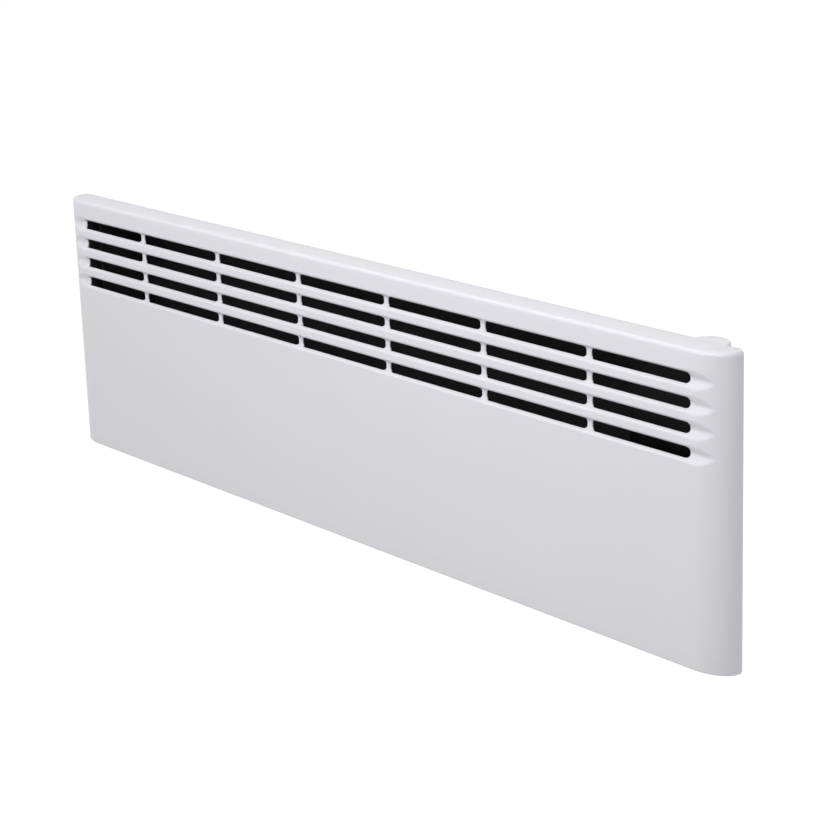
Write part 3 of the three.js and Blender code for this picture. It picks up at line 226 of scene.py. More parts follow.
@dataclass(frozen=True)
class Finish:
    """A finish: its colour, gloss and relief.

    Attributes:
        slot: The record's material slot.
        colour: Linear base colour.
        roughness: Mean roughness.
        relief: The kind of fine relief.
        metallic: 1 for bare metal.
        coat: Weight of a clear coat.
        specular: Specular level.
        tone: Share by which the colour wanders.
        depth: Depth of the relief, in metres.
        grain: Grains of the relief per metre.
        transmission: Share of light that passes through.
        broad: How many times broader the wandering tone is than the grain.
        cell: How many times broader a zinc crystal is than the grain.
        wander: By how much the roughness wanders.
        bare_wander: By how much it wanders on bare metal.
        coat_roughness: Roughness of the clear coat.
        relief_share: Share of the relief's effect.
        octaves: Octaves of the relief's finer noise.
    """

    slot: str
    colour: Colour
    roughness: float
    relief: Relief
    metallic: float = 0.0
    coat: float = 0.0
    specular: float = 0.5
    tone: float = 0.02
    depth: float = 0.00002
    grain: float = 900.0
    transmission: float = 0.0
    broad: float = 60.0
    cell: float = 6.0
    wander: float = 0.04
    bare_wander: float = 0.07
    coat_roughness: float = 0.08
    relief_share: float = 0.6
    octaves: float = 3.0

    def shade(self, share: float) -> Colour:
        """The colour made lighter or darker by a share."""
        return tuple(min(1.0, channel * (1 + share)) for channel in self.colour)

    def material(self) -> bpy.types.Material:
        """The finish's material, made once.

        Returns:
            The material.
        """
        name = f"finish_{self.slot}"
        if name in bpy.data.materials:
            return bpy.data.materials[name]
        shader = Shader(name)
        surface = shader.surface
        surface.inputs["Metallic"].default_value = self.metallic
        surface.inputs["Specular IOR Level"].default_value = self.specular
        surface.inputs["Coat Weight"].default_value = self.coat
        surface.inputs["Coat Roughness"].default_value = self.coat_roughness
        surface.inputs["Transmission Weight"].default_value = self.transmission
        self.wire(shader)
        return shader.material

    def wire(self, shader: Shader) -> None:
        """Wires colour, roughness and relief by the finish's kind.

        Args:
            shader: The material's tree.
        """
        stretch = {Relief.BRUSHED: (0.04, 1.0, 1.0), Relief.LACQUER: (1.0, 0.35, 1.0)}
        where = shader.mapped(stretch.get(self.relief, EVEN))
        fine = shader.noise(where, self.grain, self.octaves)
        broad = shader.noise(where, self.grain / self.broad)
        if self.relief is Relief.SPANGLE:
            broad = shader.cells(shader.mapped(EVEN), self.grain / self.cell)
        shader.tinted(broad, self.shade(-self.tone), self.shade(self.tone))
        spread = self.bare_wander if self.relief in (Relief.SPANGLE, Relief.BRUSHED) else self.wander
        rough = shader.ranged(broad, self.roughness - spread / 2, self.roughness + spread / 2)
        shader.links.new(rough, shader.surface.inputs["Roughness"])
        shader.bumped(fine, self.depth, self.relief_share)


class Palette:
    """The heater's finishes."""

    paint = Finish("white_paint", (0.76, 0.755, 0.79), 0.3, Relief.ORANGE_PEEL, tone=0.006, grain=700.0)
    # Black enamel of the inner heat shields and duct ends: the sheets' own colour, and also painted shade,
    # kept black so that the view through the slots stays dark.
    enamel_and_shade = Finish(
        "black_enamel", (0.025, 0.025, 0.027), 0.75, Relief.ORANGE_PEEL, specular=0.25, tone=0.1)
    zinc = Finish(
        "zinc_steel", (0.62, 0.63, 0.64), 0.4, Relief.SPANGLE, metallic=1.0, tone=0.035, grain=2400.0)
    spring = Finish("spring_steel", (0.36, 0.37, 0.39), 0.3, Relief.BRUSHED, metallic=1.0, tone=0.08)
    aluminium = Finish("aluminium", (0.6, 0.61, 0.62), 0.4, Relief.BRUSHED, metallic=1.0, tone=0.06)
    ceramic = Finish("ceramic", (0.78, 0.73, 0.63), 0.7, Relief.FIRED, tone=0.05, depth=0.00006)
    white_plastic = Finish(
        "white_plastic", (0.80, 0.795, 0.82), 0.38, Relief.MOULDED, tone=0.01, grain=2600.0)
    black_plastic = Finish(
        "black_plastic", (0.0065, 0.0065, 0.007), 0.55, Relief.MOULDED,
        specular=0.25, tone=0.1, grain=2600.0)
    board = Finish("circuit_green", (0.012, 0.085, 0.035), 0.35, Relief.LACQUER, coat=0.3, tone=0.15)
    relay = Finish("relay_blue", (0.02, 0.075, 0.25), 0.4, Relief.MOULDED, tone=0.05)
    grey = Finish("grey_lead", (0.22, 0.22, 0.23), 0.5, Relief.MOULDED, tone=0.05)
    amber = Finish(
        "amber_lens", (0.85, 0.28, 0.03), 0.12, Relief.MOULDED,
        coat=0.5, transmission=0.5, depth=0.000002)
    brown = Finish("brown_lead", (0.14, 0.05, 0.018), 0.5, Relief.MOULDED, tone=0.06)
    blue = Finish("blue_lead", (0.025, 0.11, 0.38), 0.5, Relief.MOULDED, tone=0.06)


def dress(obj: Object, finish: Finish) -> None:
    """Gives an object one finish over all its faces.

    Args:
        obj: The object.
        finish: Its finish.
    """
    obj.data.materials.clear()
    obj.data.materials.append(finish.material())
    obj.data.polygons.foreach_set("material_index", [0] * len(obj.data.polygons))


# ---- Meshes ---------------------------------------------------------------------------------


def linked(name: str, data: bpy.types.ID) -> Object:
    """A new object of the scene.

    Args:
        name: Its name.
        data: Its mesh, camera or lamp.

    Returns:
        The object.
    """
    obj = bpy.data.objects.new(name, data)
    bpy.context.scene.collection.objects.link(obj)
    return obj


@contextmanager
def edited(mesh: bpy.types.Mesh) -> Iterator[bmesh.types.BMesh]:
    """Opens a mesh for editing and keeps what was done to it.

    Args:
        mesh: The mesh.

    Yields:
        The mesh in the making.
    """
    build = bmesh.new()
    build.from_mesh(mesh)
    yield build
    build.to_mesh(mesh)
    build.free()


def mesh_object(name: str, points: list[Point], faces: Faces) -> Object:
    """An object with a mesh of given points and faces, at the origin.

    Args:
        name: The object's name.
        points: The mesh's points.
        faces: Point numbers of each face.

    Returns:
        The linked object.
    """
    mesh = bpy.data.meshes.new(name)
    mesh.from_pydata(points, [], faces)
    mesh.validate()
    return linked(name, mesh)


def kept(build: bmesh.types.BMesh, name: str) -> Object:
    """Keeps a mesh in the making as an object at the origin.

    Args:
        build: The mesh in the making, which ends here.
        name: The object's name.

    Returns:
        The linked object.
    """
    mesh = bpy.data.meshes.new(name)
    build.to_mesh(mesh)
    build.free()
    return linked(name, mesh)


def outward(obj: Object) -> Object:
    """Turns a closed mesh's faces outwards.

    Args:
        obj: The object.

    Returns:
        The same object.
    """
    with edited(obj.data) as build:
        bmesh.ops.recalc_face_normals(build, faces=build.faces)
    return obj


def settle(obj: Object) -> Object:
    """Turns an object and its modifiers into one plain mesh.

    Args:
        obj: The object.

    Returns:
        The same object, with no modifiers.
    """
    graph = bpy.context.evaluated_depsgraph_get()
    mesh = bpy.data.meshes.new_from_object(obj.evaluated_get(graph))
    obj.modifiers.clear()
    obj.data = mesh
    return obj


def bevelled(obj: Object, width: float, segments: int, slide: bool) -> Object:
    """Rounds an object's edges by the weights that they bear.

    Args:
        obj: The object.
        width: Width of the rounding at a weight of one, in metres.
        segments: Steps of the rounding.
        slide: Whether the rounding may slide along the edges that run into it.

    Returns:
        The same object, as a plain mesh.
    """
    bevel = obj.modifiers.new("edges", "BEVEL")
    bevel.width = width
    bevel.segments = segments
    bevel.limit_method = "WEIGHT"
    bevel.loop_slide = slide
    bevel.use_clamp_overlap = False
    return settle(obj)


def smooth(obj: Object, degrees: float = 38.0) -> Object:
    """Shades an object smoothly, apart from edges sharper than an angle.

    Args:
        obj: The object.
        degrees: The angle.

    Returns:
        The same object.
    """
    obj.data.shade_smooth()
    obj.data.set_sharp_from_angle(angle=math.radians(degrees))
    return obj


def turned(name: str, profile: list[Flat], centre: Point, sides: int) -> Object:
    """A closed turned piece about a vertical axis.

    Args:
        name: The object's name.
        profile: Radius and height of each point, up the outside, with both ends on the axis.
        centre: The axis's foot.
        sides: Points round the axis.

    Returns:
        The object.
    """
    build = bmesh.new()
    rings: list[list[bmesh.types.BMVert]] = []
    for radius, height in profile:
        ring = []
        for i in range(sides if radius else 1):
            angle = math.tau * i / sides
            ring.append(build.verts.new((
                centre[0] + radius * math.cos(angle),
                centre[1] + radius * math.sin(angle),
                centre[2] + height,
            )))
        rings.append(ring)
    for low, high in zip(rings, rings[1:]):
        for i in range(sides):
            j = (i + 1) % sides
            corners = [low[i % len(low)], low[j % len(low)], high[j % len(high)], high[i % len(high)]]
            unique = list(dict.fromkeys(corners))
            if len(unique) > 2:
                build.faces.new(unique)
    bmesh.ops.recalc_face_normals(build, faces=build.faces)
    return kept(build, name)


def finish_piece(obj: Object, body: Body, finish: Finish, *nodes: str) -> Object:
    """Puts a made piece on its body, in place of the nodes that it stands for.

    Args:
        obj: The piece.
        body: The body it rides on.
        finish: The piece's finish; not used.
        nodes: The frame's nodes that it replaces.

    Returns:
        The same object.
    """
    if nodes:
        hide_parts(*nodes)
    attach(obj, body.value)
    log.info("%s: %d faces on %s", obj.name, len(obj.data.polygons), body.value)
    return obj


def sharp(line: Edge, degrees: float) -> bool:
    """True where the two faces of an edge meet at more than an angle in degrees."""
    return len(line.link_faces) == 2 and line.calc_face_angle() > math.radians(degrees)


def middle_along(line: Edge) -> Vector:
    """The middle of an edge."""
    return (line.verts[0].co + line.verts[1].co) / 2


def run_on(start: set[Edge], among: set[Edge]) -> set[Edge]:
    """Edges that carry on from given ones with no sharp turn.

    Args:
        start: The edges to start from.
        among: The edges to choose from.

    Returns:
        The starting edges and those that carry on from them.
    """
    found = set(start)
    queue = list(start)
    while queue:
        line = queue.pop()
        for corner in line.verts:
            along = (corner.co - line.other_vert(corner).co).normalized()
            for other in corner.link_edges:
                if other in found or other not in among:
                    continue
                if (other.other_vert(corner).co - corner.co).normalized().dot(along) > RUN_ON_COSINE:
                    found.add(other)
                    queue.append(other)
    return found


def softened(
    node: str, name: str, body: Body, finish: Finish, edge: float, *,
    bend: Callable[[Vector], bool] | None = None, bend_edge: float = 0.0, segments: int = 2,
) -> Object:
    """A copy of a frame node with its sharp edges rounded, in its place.

    Args:
        node: The frame's node.
        name: The new piece's name.
        body: The body it rides on.
        finish: Its finish.
        edge: Width of the rounding of a cut edge, in metres.
        bend: Says of an edge's middle whether the edge is a bend of the sheet.
        bend_edge: Width of the rounding of a bend, in metres.
        segments: Steps of the rounding.

    Returns:
        The new piece.
    """
    widest = max(edge, bend_edge)
    build = bmesh.new()
    build.from_mesh(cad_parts[node].data)
    bmesh.ops.remove_doubles(build, verts=build.verts, dist=WELD)
    bmesh.ops.dissolve_limit(
        build, angle_limit=math.radians(FLAT_ANGLE), verts=build.verts, edges=build.edges)
    layer = build.edges.layers.float.new("bevel_weight_edge")
    cut = {line for line in build.edges if sharp(line, EDGE_ANGLE)}
    bent = {line for line in cut if bend is not None and bend(middle_along(line))}
    folded = run_on(bent, cut)
    for line in cut:
        line[layer] = (bend_edge if line in folded else edge) / widest
    obj = kept(build, name)
    if "custom_normal" in obj.data.attributes:
        obj.data.attributes.remove(obj.data.attributes["custom_normal"])
    bevelled(obj, widest, segments, slide=False)
    dress(obj, finish)
    smooth(obj)
    level = obj.modifiers.new("level", "WEIGHTED_NORMAL")
    level.keep_sharp = True
    settle(obj)
    return finish_piece(obj, body, finish, node)


def middle_of(node: str) -> Vector:
    """The middle of a frame node's box."""
    low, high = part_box(node)
    return (low + high) / 2


# ---- Geometry Nodes -------------------------------------------------------------------------


def reckoning(operation: str, flipped: bool = False) -> Callable[["Number", "Value"], "Number"]:
    """Makes a reckoning sign of numbers in a tree.

    Args:
        operation: The operation's name.
        flipped: Whether the other number comes first.

    Returns:
        The method for the sign.
    """

    def reckon(number: "Number", other: "Value") -> "Number":
        """Reckons with two numbers in their order."""
        return number.rule.maths(operation, *((other, number) if flipped else (number, other)))

    return reckon


class Number:
    """A number in a tree, which adds, takes away, multiplies and divides as numbers do."""

    __add__ = reckoning("ADD")
    __sub__ = reckoning("SUBTRACT")
    __rsub__ = reckoning("SUBTRACT", flipped=True)
    __mul__ = reckoning("MULTIPLY")
    __truediv__ = reckoning("DIVIDE")

    def __init__(self, rule: "Rule", socket: Socket) -> None:
        """Keeps the tree and the socket that gives the number."""
        self.rule = rule
        self.socket = socket


Value = Number | Socket | float | int | bool | Point


class Rule:
    """A Geometry Nodes tree while it is being wired, with named sizes."""

    def __init__(self, name: str, sizes: dict[str, float | int]) -> None:
        """Makes the tree's sockets.

        Args:
            name: The tree's name.
            sizes: Each named size and its usual value.
        """
        self.group = bpy.data.node_groups.new(name, "GeometryNodeTree")
        face = self.group.interface
        face.new_socket("Geometry", in_out="INPUT", socket_type="NodeSocketGeometry")
        for label, value in sizes.items():
            kind = "NodeSocketInt" if isinstance(value, int) else "NodeSocketFloat"
            face.new_socket(label, in_out="INPUT", socket_type=kind).default_value = value
        face.new_socket("Finish", in_out="INPUT", socket_type="NodeSocketMaterial")
        face.new_socket("Geometry", in_out="OUTPUT", socket_type="NodeSocketGeometry")
        self.entry = self.group.nodes.new("NodeGroupInput")
        self.exit = self.group.nodes.new("NodeGroupOutput")

    def add(
        self, kind: str, inputs: dict[str | int, Value] | None = None, **settings: object,
    ) -> bpy.types.Node:
        """Adds a node.

        Args:
            kind: The node's type.
            inputs: A value, a number or a socket for each named input.
            settings: The node's own properties.

        Returns:
            The node.
        """
        node = self.group.nodes.new(kind)
        for label, value in settings.items():
            setattr(node, label, value)
        for label, value in (inputs or {}).items():
            value = value.socket if isinstance(value, Number) else value
            if isinstance(value, Socket):
                self.group.links.new(value, node.inputs[label])
            else:
                node.inputs[label].default_value = value
        return node

    def size(self, label: str) -> Number:
        """The number of a named size."""
        return Number(self, self.entry.outputs[label])

    def maths(self, operation: str, *values: Value) -> Number:
        """The result of a named operation on its operands."""
        node = self.add("ShaderNodeMath", dict(enumerate(values)), operation=operation)
        return Number(self, node.outputs[0])

    def ranged(
        self, value: Value, start: Value, end: Value, first: Value = 0.0, last: Value = 1.0, *,
        kind: str = "LINEAR",
    ) -> Number:
        """Maps a range onto another and stays in it.

        Args:
            value: The number.
            start: Where the range begins.
            end: Where it ends.
            first: What its beginning becomes.
            last: What its end becomes.
            kind: LINEAR or SMOOTHSTEP.

        Returns:
            The mapped number.
        """
        node = self.add("ShaderNodeMapRange", {
            "Value": value, "From Min": start, "From Max": end, "To Min": first, "To Max": last,
        }, interpolation_type=kind)
        return Number(self, node.outputs[0])

    def both(self, first: Value, second: Value) -> Socket:
        """True where both conditions are."""
        return self.add("FunctionNodeBooleanMath", {0: first, 1: second}, operation="AND").outputs[0]

    def compare(self, operation: str, first: Value, second: Value) -> Socket:
        """True where GREATER_THAN or LESS_THAN holds between two numbers."""
        return self.add(
            "FunctionNodeCompare", {0: first, 1: second}, data_type="FLOAT", operation=operation).outputs[0]

    def places(self) -> tuple[Number, ...]:
        """X, Y and Z of each point."""
        place = self.add("ShaderNodeSeparateXYZ", {0: self.add("GeometryNodeInputPosition").outputs[0]})
        return tuple(Number(self, place.outputs[axis]) for axis in "XYZ")

    def vector(self, x: Value = 0.0, y: Value = 0.0, z: Value = 0.0) -> Socket:
        """A vector of three numbers."""
        return self.add("ShaderNodeCombineXYZ", {"X": x, "Y": y, "Z": z}).outputs[0]

    def turn(self, x: Value = 0.0, z: Value = 0.0) -> Socket:
        """A rotation by an angle about X and one about Z."""
        return self.add("FunctionNodeEulerToRotation", {0: self.vector(x, 0.0, z)}).outputs[0]

    def moved(self, geometry: Socket, x: Value = 0.0, y: Value = 0.0, z: Value = 0.0) -> Socket:
        """A geometry moved by a distance along each axis."""
        by = self.vector(x, y, z)
        return self.add("GeometryNodeTransform", {"Geometry": geometry, "Translation": by}).outputs[0]

    def box(self, x: Value, y: Value, z: Value) -> Socket:
        """A box about the origin with a length along each axis."""
        return self.add("GeometryNodeMeshCube", {"Size": self.vector(x, y, z)}).outputs["Mesh"]

    def rod(self, radius: Value, depth: Value, sides: int, rings: int = 1) -> Socket:
        """A round rod about the origin, along Z, with points round it and steps along it."""
        return self.add("GeometryNodeMeshCylinder", {
            "Vertices": sides, "Side Segments": rings, "Radius": radius, "Depth": depth}).outputs["Mesh"]

    def merged(self, first: Socket, second: Socket) -> Socket:
        """Joins two closed geometries into one.

        Args:
            first: The first geometry.
            second: The second geometry.

        Returns:
            Their union.
        """
        node = self.add("GeometryNodeMeshBoolean", operation="UNION")
        for part in (first, second):
            self.group.links.new(part, node.inputs["Mesh 2"])
        return node.outputs["Mesh"]

    def without(self, solid: Socket, *tools: Socket) -> Socket:
        """Cuts closed geometries out of another.

        Args:
            solid: The geometry to cut.
            tools: What is cut out of it.

        Returns:
            What is left.
        """
        node = self.add("GeometryNodeMeshBoolean", {"Mesh 1": solid}, operation="DIFFERENCE")
        for tool in tools:
            self.group.links.new(tool, node.inputs["Mesh 2"])
        return node.outputs["Mesh"]

    def placed(self, geometry: Socket, where: Socket) -> Socket:
        """A geometry with each point in a given place."""
        return self.add("GeometryNodeSetPosition", {"Geometry": geometry, "Position": where}).outputs[0]

    def shaped(self, geometry: Socket, scale: Callable[[Number, Number, Number], Number]) -> Socket:
        """Draws each point of a geometry towards the Z axis.

        Args:
            geometry: The geometry.
            scale: Gives the share of its distance that a point keeps, from its X, Y and Z.

        Returns:
            The drawn geometry.
        """
        x, y, z = self.places()
        share = scale(x, y, z)
        return self.placed(geometry, self.vector(x * share, y * share, z))

    def drawn_in(self, z: Number, start: Value, end: Value, least: Value) -> Number:
        """A share that falls along a quarter of an ellipse.

        Args:
            z: The height.
            start: Up to here the share is 1.
            end: Here it has fallen to the least.
            least: The least share.

        Returns:
            The share at the height.
        """
        along = self.ranged(z, start, end)
        arc = self.maths("SQRT", self.maths("MAXIMUM", 1.0 - along * along, 0.0))
        return 1.0 - (1.0 - arc) * self.maths("SUBTRACT", 1.0, least)

    def end(self, geometry: Socket) -> None:
        """Ends the tree: real geometry, with its finish.

        Args:
            geometry: What the tree has made.
        """
        real = self.add("GeometryNodeRealizeInstances", {"Geometry": geometry})
        set_finish = self.add(
            "GeometryNodeSetMaterial", {"Geometry": real.outputs[0], "Material": self.size("Finish")})
        self.group.links.new(set_finish.outputs[0], self.exit.inputs["Geometry"])

    def run(self, obj: Object, finish: Finish, **sizes: float) -> Object:
        """Runs the tree on an object and keeps the result as its plain mesh.

        Args:
            obj: The object that the tree starts from.
            finish: The finish it gives.
            sizes: Values for named sizes, with underscores for spaces.

        Returns:
            The same object.
        """
        modifier = obj.modifiers.new(self.group.name, "NODES")
        modifier.node_group = self.group
        names = {
            item.name: item.identifier
            for item in self.group.interface.items_tree
            if item.item_type == "SOCKET" and item.in_out == "INPUT"
        }
        for label, value in sizes.items():
            modifier[names[label.replace("_", " ").title()]] = value
        modifier[names["Finish"]] = finish.material()
        settle(obj)
        dress(obj, finish)
        return obj


# ---- Front casing ---------------------------------------------------------------------------


@dataclass
class Column:
    """A line up the casing's outside, at one place of its plan.

    Attributes:
        at: Its X for a height above or below a groove's middle.
        y: Its Y before the edges are drawn in.
        nx: Outward normal's X.
        ny: Outward normal's Y.
    """

    at: Line
    y: float
    nx: float
    ny: float


@dataclass
class FrontCasing:
    """The pressed front: rounded ends, four grooves and their slots.

    Attributes hold its sizes in metres, as the frame's front casing has them, the steps of its
    curves, and the measures that tell its edges apart. Angles are in degrees.
    """

    half_length: float = 0.363
    half_height: float = 0.101
    face_y: float = -0.085
    rim_y: float = -0.0635
    sheet: float = 0.0009
    top_edge: float = 0.003
    bottom_edge: float = 0.0016
    end_length: float = 0.025
    end_depth: float = 0.0156
    rear_length: float = 0.009
    window_half: float = 0.326
    window_top: float = 0.084
    rows: int = 4
    first_row: float = 0.08207
    pitch: float = 0.01538
    groove_depth: float = 0.0033
    mouth_half: float = 0.0056
    floor_half: float = 0.0025
    run_out_depth: float = 0.0031
    run_out_mouth: float = 0.0064
    run_out_blend: float = 0.004
    run_out_plain: float = 0.5
    run_out_lap: float = 0.002
    slot_half: float = 0.0035
    slot_pitch: float = 0.1
    bridge_half: float = 0.00225
    bridge_offset: float = -0.0036
    slot_corner: float = 0.0026
    slot_tip: float = 0.00345
    field_half: float = 0.3334
    field_left: float = -0.335
    bridges: int = 6
    slot_edge: float = 0.0002
    rear_edge: float = 0.0003
    rises: tuple[float, ...] = (
        0.0, 0.0009, 0.00141, 0.00193, 0.0025, 0.0028, 0.00308, 0.00336, 0.0035,
        0.0038, 0.00415, 0.0045, 0.00485, 0.0052, 0.00555, 0.0059, 0.0062, 0.0066)
    # Steps of its curves and heights of its plain levels.
    front_steps: int = 9
    tip_steps: int = 10
    left_steps: int = 4
    bridge_steps: int = 7
    right_steps: int = 5
    bottom_steps: int = 6
    top_steps: int = 10
    plain_levels: tuple[float, ...] = (-0.05, -0.016, 0.006, 0.0225, 0.0283, 0.0915, 0.0952)
    # What tells the edges to round: angles, how square a face of the rim is to Y, and reaches.
    rounded_reach: float = 0.35
    sharp_angle: float = 50.0
    rim_angle: float = 0.1
    rim_facing: float = 0.99999
    rim_rows: float = 3.0
    rear_reach: float = 0.002
    rear_band: float = 0.0005
    edge_steps: int = 3

    def column(self, x: float, y: float, nx: float, ny: float) -> Column:
        """A column that keeps its X at every height, with a normal of any length."""
        normal = Vector((nx, ny)).normalized()
        return Column(lambda rise: x, y, normal.x, normal.y)

    def end_columns(self, side: int) -> list[Column]:
        """Columns of a rounded end, from the face to the tip.

        Args:
            side: -1 for the left end, 1 for the right.

        Returns:
            The columns, without the one where the flat face begins.
        """
        split = math.asin(1 - self.rear_length / self.end_length)
        angles = [split * i / self.front_steps for i in range(1, self.front_steps + 1)]
        rest = math.pi / 2 - split
        angles += [split + rest * i / self.tip_steps for i in range(1, self.tip_steps + 1)]
        return [
            self.column(
                side * (self.half_length - self.end_length * (1 - math.sin(angle))),
                self.face_y + self.end_depth * (1 - math.cos(angle)),
                side * math.sin(angle) * self.end_depth, -math.cos(angle) * self.end_length)
            for angle in angles]

    def rear_columns(self, side: int) -> list[Column]:
        """Columns of an end's rear curve, from past the tip to the rim.

        Args:
            side: -1 for the left end, 1 for the right.

        Returns:
            The columns.
        """
        depth = self.rim_y - self.face_y - self.end_depth
        angles = [math.pi / 2 * i / self.tip_steps for i in range(1, self.tip_steps + 1)]
        return [
            self.column(
                side * (self.half_length - self.rear_length * (1 - math.cos(angle))),
                self.face_y + self.end_depth + depth * math.sin(angle),
                side * math.cos(angle) * depth, math.sin(angle) * self.rear_length)
            for angle in angles]

    def reach(self, rise: float, radius: float) -> float:
        """How far a rounded slot end is drawn back at a height off its middle."""
        off = min(max(rise - (self.slot_half - radius), 0.0), radius)
        return radius - math.sqrt(radius * radius - off * off)

    def face_columns(self) -> list[Column]:
        """Columns of the flat face, shaped round the slots' ends.

        Returns:
            The columns from left to right.
        """
        flat = self.half_length - self.end_length
        spans: list[tuple[Line, Line, int]] = [
            (lambda rise: -flat, lambda rise: self.field_left, self.left_steps)]
        for i in range(self.bridges):
            middle = self.bridge_offset + (i - (self.bridges - 1) / 2) * self.slot_pitch
            spans.append((
                lambda rise, m=middle: m - self.bridge_half - self.reach(rise, self.slot_corner),
                lambda rise, m=middle: m + self.bridge_half + self.reach(rise, self.slot_corner),
                self.bridge_steps,
            ))
        spans.append((
            lambda rise: self.field_half - self.reach(rise, self.slot_tip), lambda rise: flat,
            self.right_steps))
        columns = []
        for left, right, steps in spans:
            for i in range(steps + 1):
                columns.append(Column(
                    lambda rise, a=left, b=right, s=i / steps: a(rise) * (1 - s) + b(rise) * s,
                    self.face_y, 0.0, -1.0))
        return columns

    def levels(self) -> list[tuple[float, float, float]]:
        """Heights of the casing's levels.

        Returns:
            Height, draw of the edge rounding, and rise off the nearest groove's middle, from the
            bottom up.
        """
        found: dict[float, tuple[float, float]] = {}
        far = self.slot_half
        for side, edge, steps in (
            (-1, self.bottom_edge, self.bottom_steps), (1, self.top_edge, self.top_steps),
        ):
            for i in range(steps + 1):
                angle = math.pi / 2 * i / steps
                z = side * (self.half_height - edge * (1 - math.cos(angle)))
                found[z] = (edge * (1 - math.sin(angle)), far)
        for z in (-self.window_top, *self.plain_levels):
            found[z] = (0.0, far)
        for row in range(self.rows):
            middle = self.first_row - row * self.pitch
            for rise in self.rises:
                found[middle + rise] = (0.0, min(rise, far))
                found[middle - rise] = (0.0, min(rise, far))
        return [(z, *found[z]) for z in sorted(found)]

    def blank(self) -> Object:
        """The casing's outside as an open sheet, before it is pressed and pierced.

        Returns:
            The object.
        """
        ring = (
            self.rear_columns(-1)[::-1] + self.end_columns(-1)[::-1] + self.face_columns()
            + self.end_columns(1) + self.rear_columns(1))
        levels = self.levels()
        points: list[Point] = []
        for z, draw, rise in levels:
            for column in ring:
                points.append((column.at(rise) - column.nx * draw, column.y - min(column.ny, 0.0) * draw, z))
        count = len(ring)
        faces = []
        for k in range(len(levels) - 1):
            for i in range(count - 1):
                a = k * count + i
                faces.append((a, a + 1, a + 1 + count, a + count))
        first, last = 2 * self.tip_steps, count - 1 - 2 * self.tip_steps
        rim = self.rim_lines(ring, first, last, levels, points, faces)
        for k, turn in ((0, 1), (len(levels) - 1, -1)):
            self.close_edge(k * count, first, last, rim[k], faces, turn)
        obj = mesh_object("casing_shell", points, faces)
        with edited(obj.data) as build:
            bmesh.ops.recalc_face_normals(build, faces=build.faces)
            front = min(build.faces, key=lambda face: face.calc_center_median().y)
            if front.normal.y > 0:
                bmesh.ops.reverse_faces(build, faces=build.faces)
        return obj

    def rim_lines(
        self, ring: list[Column], first: int, last: int, levels: list[tuple[float, float, float]],
        points: list[Point], faces: Faces,
    ) -> list[dict[int, int]]:
        """Adds the rear rim, with its window left open.

        Args:
            ring: The plan's columns.
            first: Column over the rim's left end.
            last: Column over the rim's right end.
            levels: The casing's levels.
            points: The mesh's points, which grow.
            faces: The mesh's faces, which grow.

        Returns:
            For each level, the point number of each column's place on the rim.
        """
        count = len(ring)
        open_left = first + self.front_steps + self.left_steps + 1
        open_right = last - self.front_steps - self.right_steps
        rim: list[dict[int, int]] = []
        for k, (z, _, _) in enumerate(levels):
            row = {first: k * count, last: k * count + count - 1}
            for i in range(first + 1, last):
                inside = open_left < i < open_right
                if inside and abs(z) < self.window_top - HAIR:
                    continue
                x = ring[i].at(self.slot_half)
                x = {open_left: -self.window_half, open_right: self.window_half}.get(i, x)
                row[i] = len(points)
                points.append((x, self.rim_y, z))
            rim.append(row)
        for k, (low, high) in enumerate(zip(rim, rim[1:])):
            beside = abs(levels[k][0] + levels[k + 1][0]) / 2 < self.window_top - HAIR
            for i in range(first, last):
                corners = [row.get(j) for row, j in ((low, i), (high, i), (high, i + 1), (low, i + 1))]
                if None not in corners and not (beside and open_left <= i < open_right):
                    faces.append(tuple(corners))
        return rim

    def close_edge(
        self, base: int, first: int, last: int, rim: dict[int, int], faces: Faces, turn: int,
    ) -> None:
        """Closes the casing's top or bottom between its front and its rim.

        Args:
            base: Point number of the level's first column.
            first: Column over the rim's left end.
            last: Column over the rim's right end.
            rim: Point number of each column's place on the rim, at this level.
            faces: The mesh's faces, which grow.
            turn: 1 to face down, -1 to face up.
        """
        start, end = base + self.tip_steps, base + last + self.tip_steps
        pairs = [(start - j, start + j) for j in range(self.tip_steps + 1)]
        pairs += [(rim[i], base + i) for i in range(first + 1, last)]
        pairs += [(end + j, end - j) for j in range(self.tip_steps, -1, -1)]
        for (a, b), (c, d) in zip(pairs, pairs[1:]):
            corners = tuple(dict.fromkeys((a, b, d, c)[::turn]))
            if len(corners) > 2:
                faces.append(corners)

    def trough(self, rule: Rule, rise: Number, along: Number) -> Number:
        """Wires a groove's depth: flat-floored along the slots, a plain V past them.

        Args:
            rule: The tree.
            rise: Height off the groove's middle.
            along: Distance to the right of the casing's middle.

        Returns:
            The depth.
        """
        depth, mouth_half = rule.size("Depth"), rule.size("Mouth Half")
        outside = rule.maths("MAXIMUM", rule.size("Field Left") - along, along - rule.size("Run Out Right"))
        past = rule.ranged(outside, 0.0, rule.size("Run Out Blend"))
        core = rule.size("Floor Half") * (1.0 - past)
        mouth = mouth_half + (rule.size("Run Out Mouth") - mouth_half) * past
        curved = rule.ranged(rise, core, mouth, 1.0, 0.0, kind="SMOOTHSTEP")
        plain = rule.ranged(rise, core, mouth, 1.0, 0.0)
        share = curved + (plain - curved) * (past * rule.size("Run Out Plain"))
        return share * (depth + (rule.size("Run Out Depth") - depth) * past)

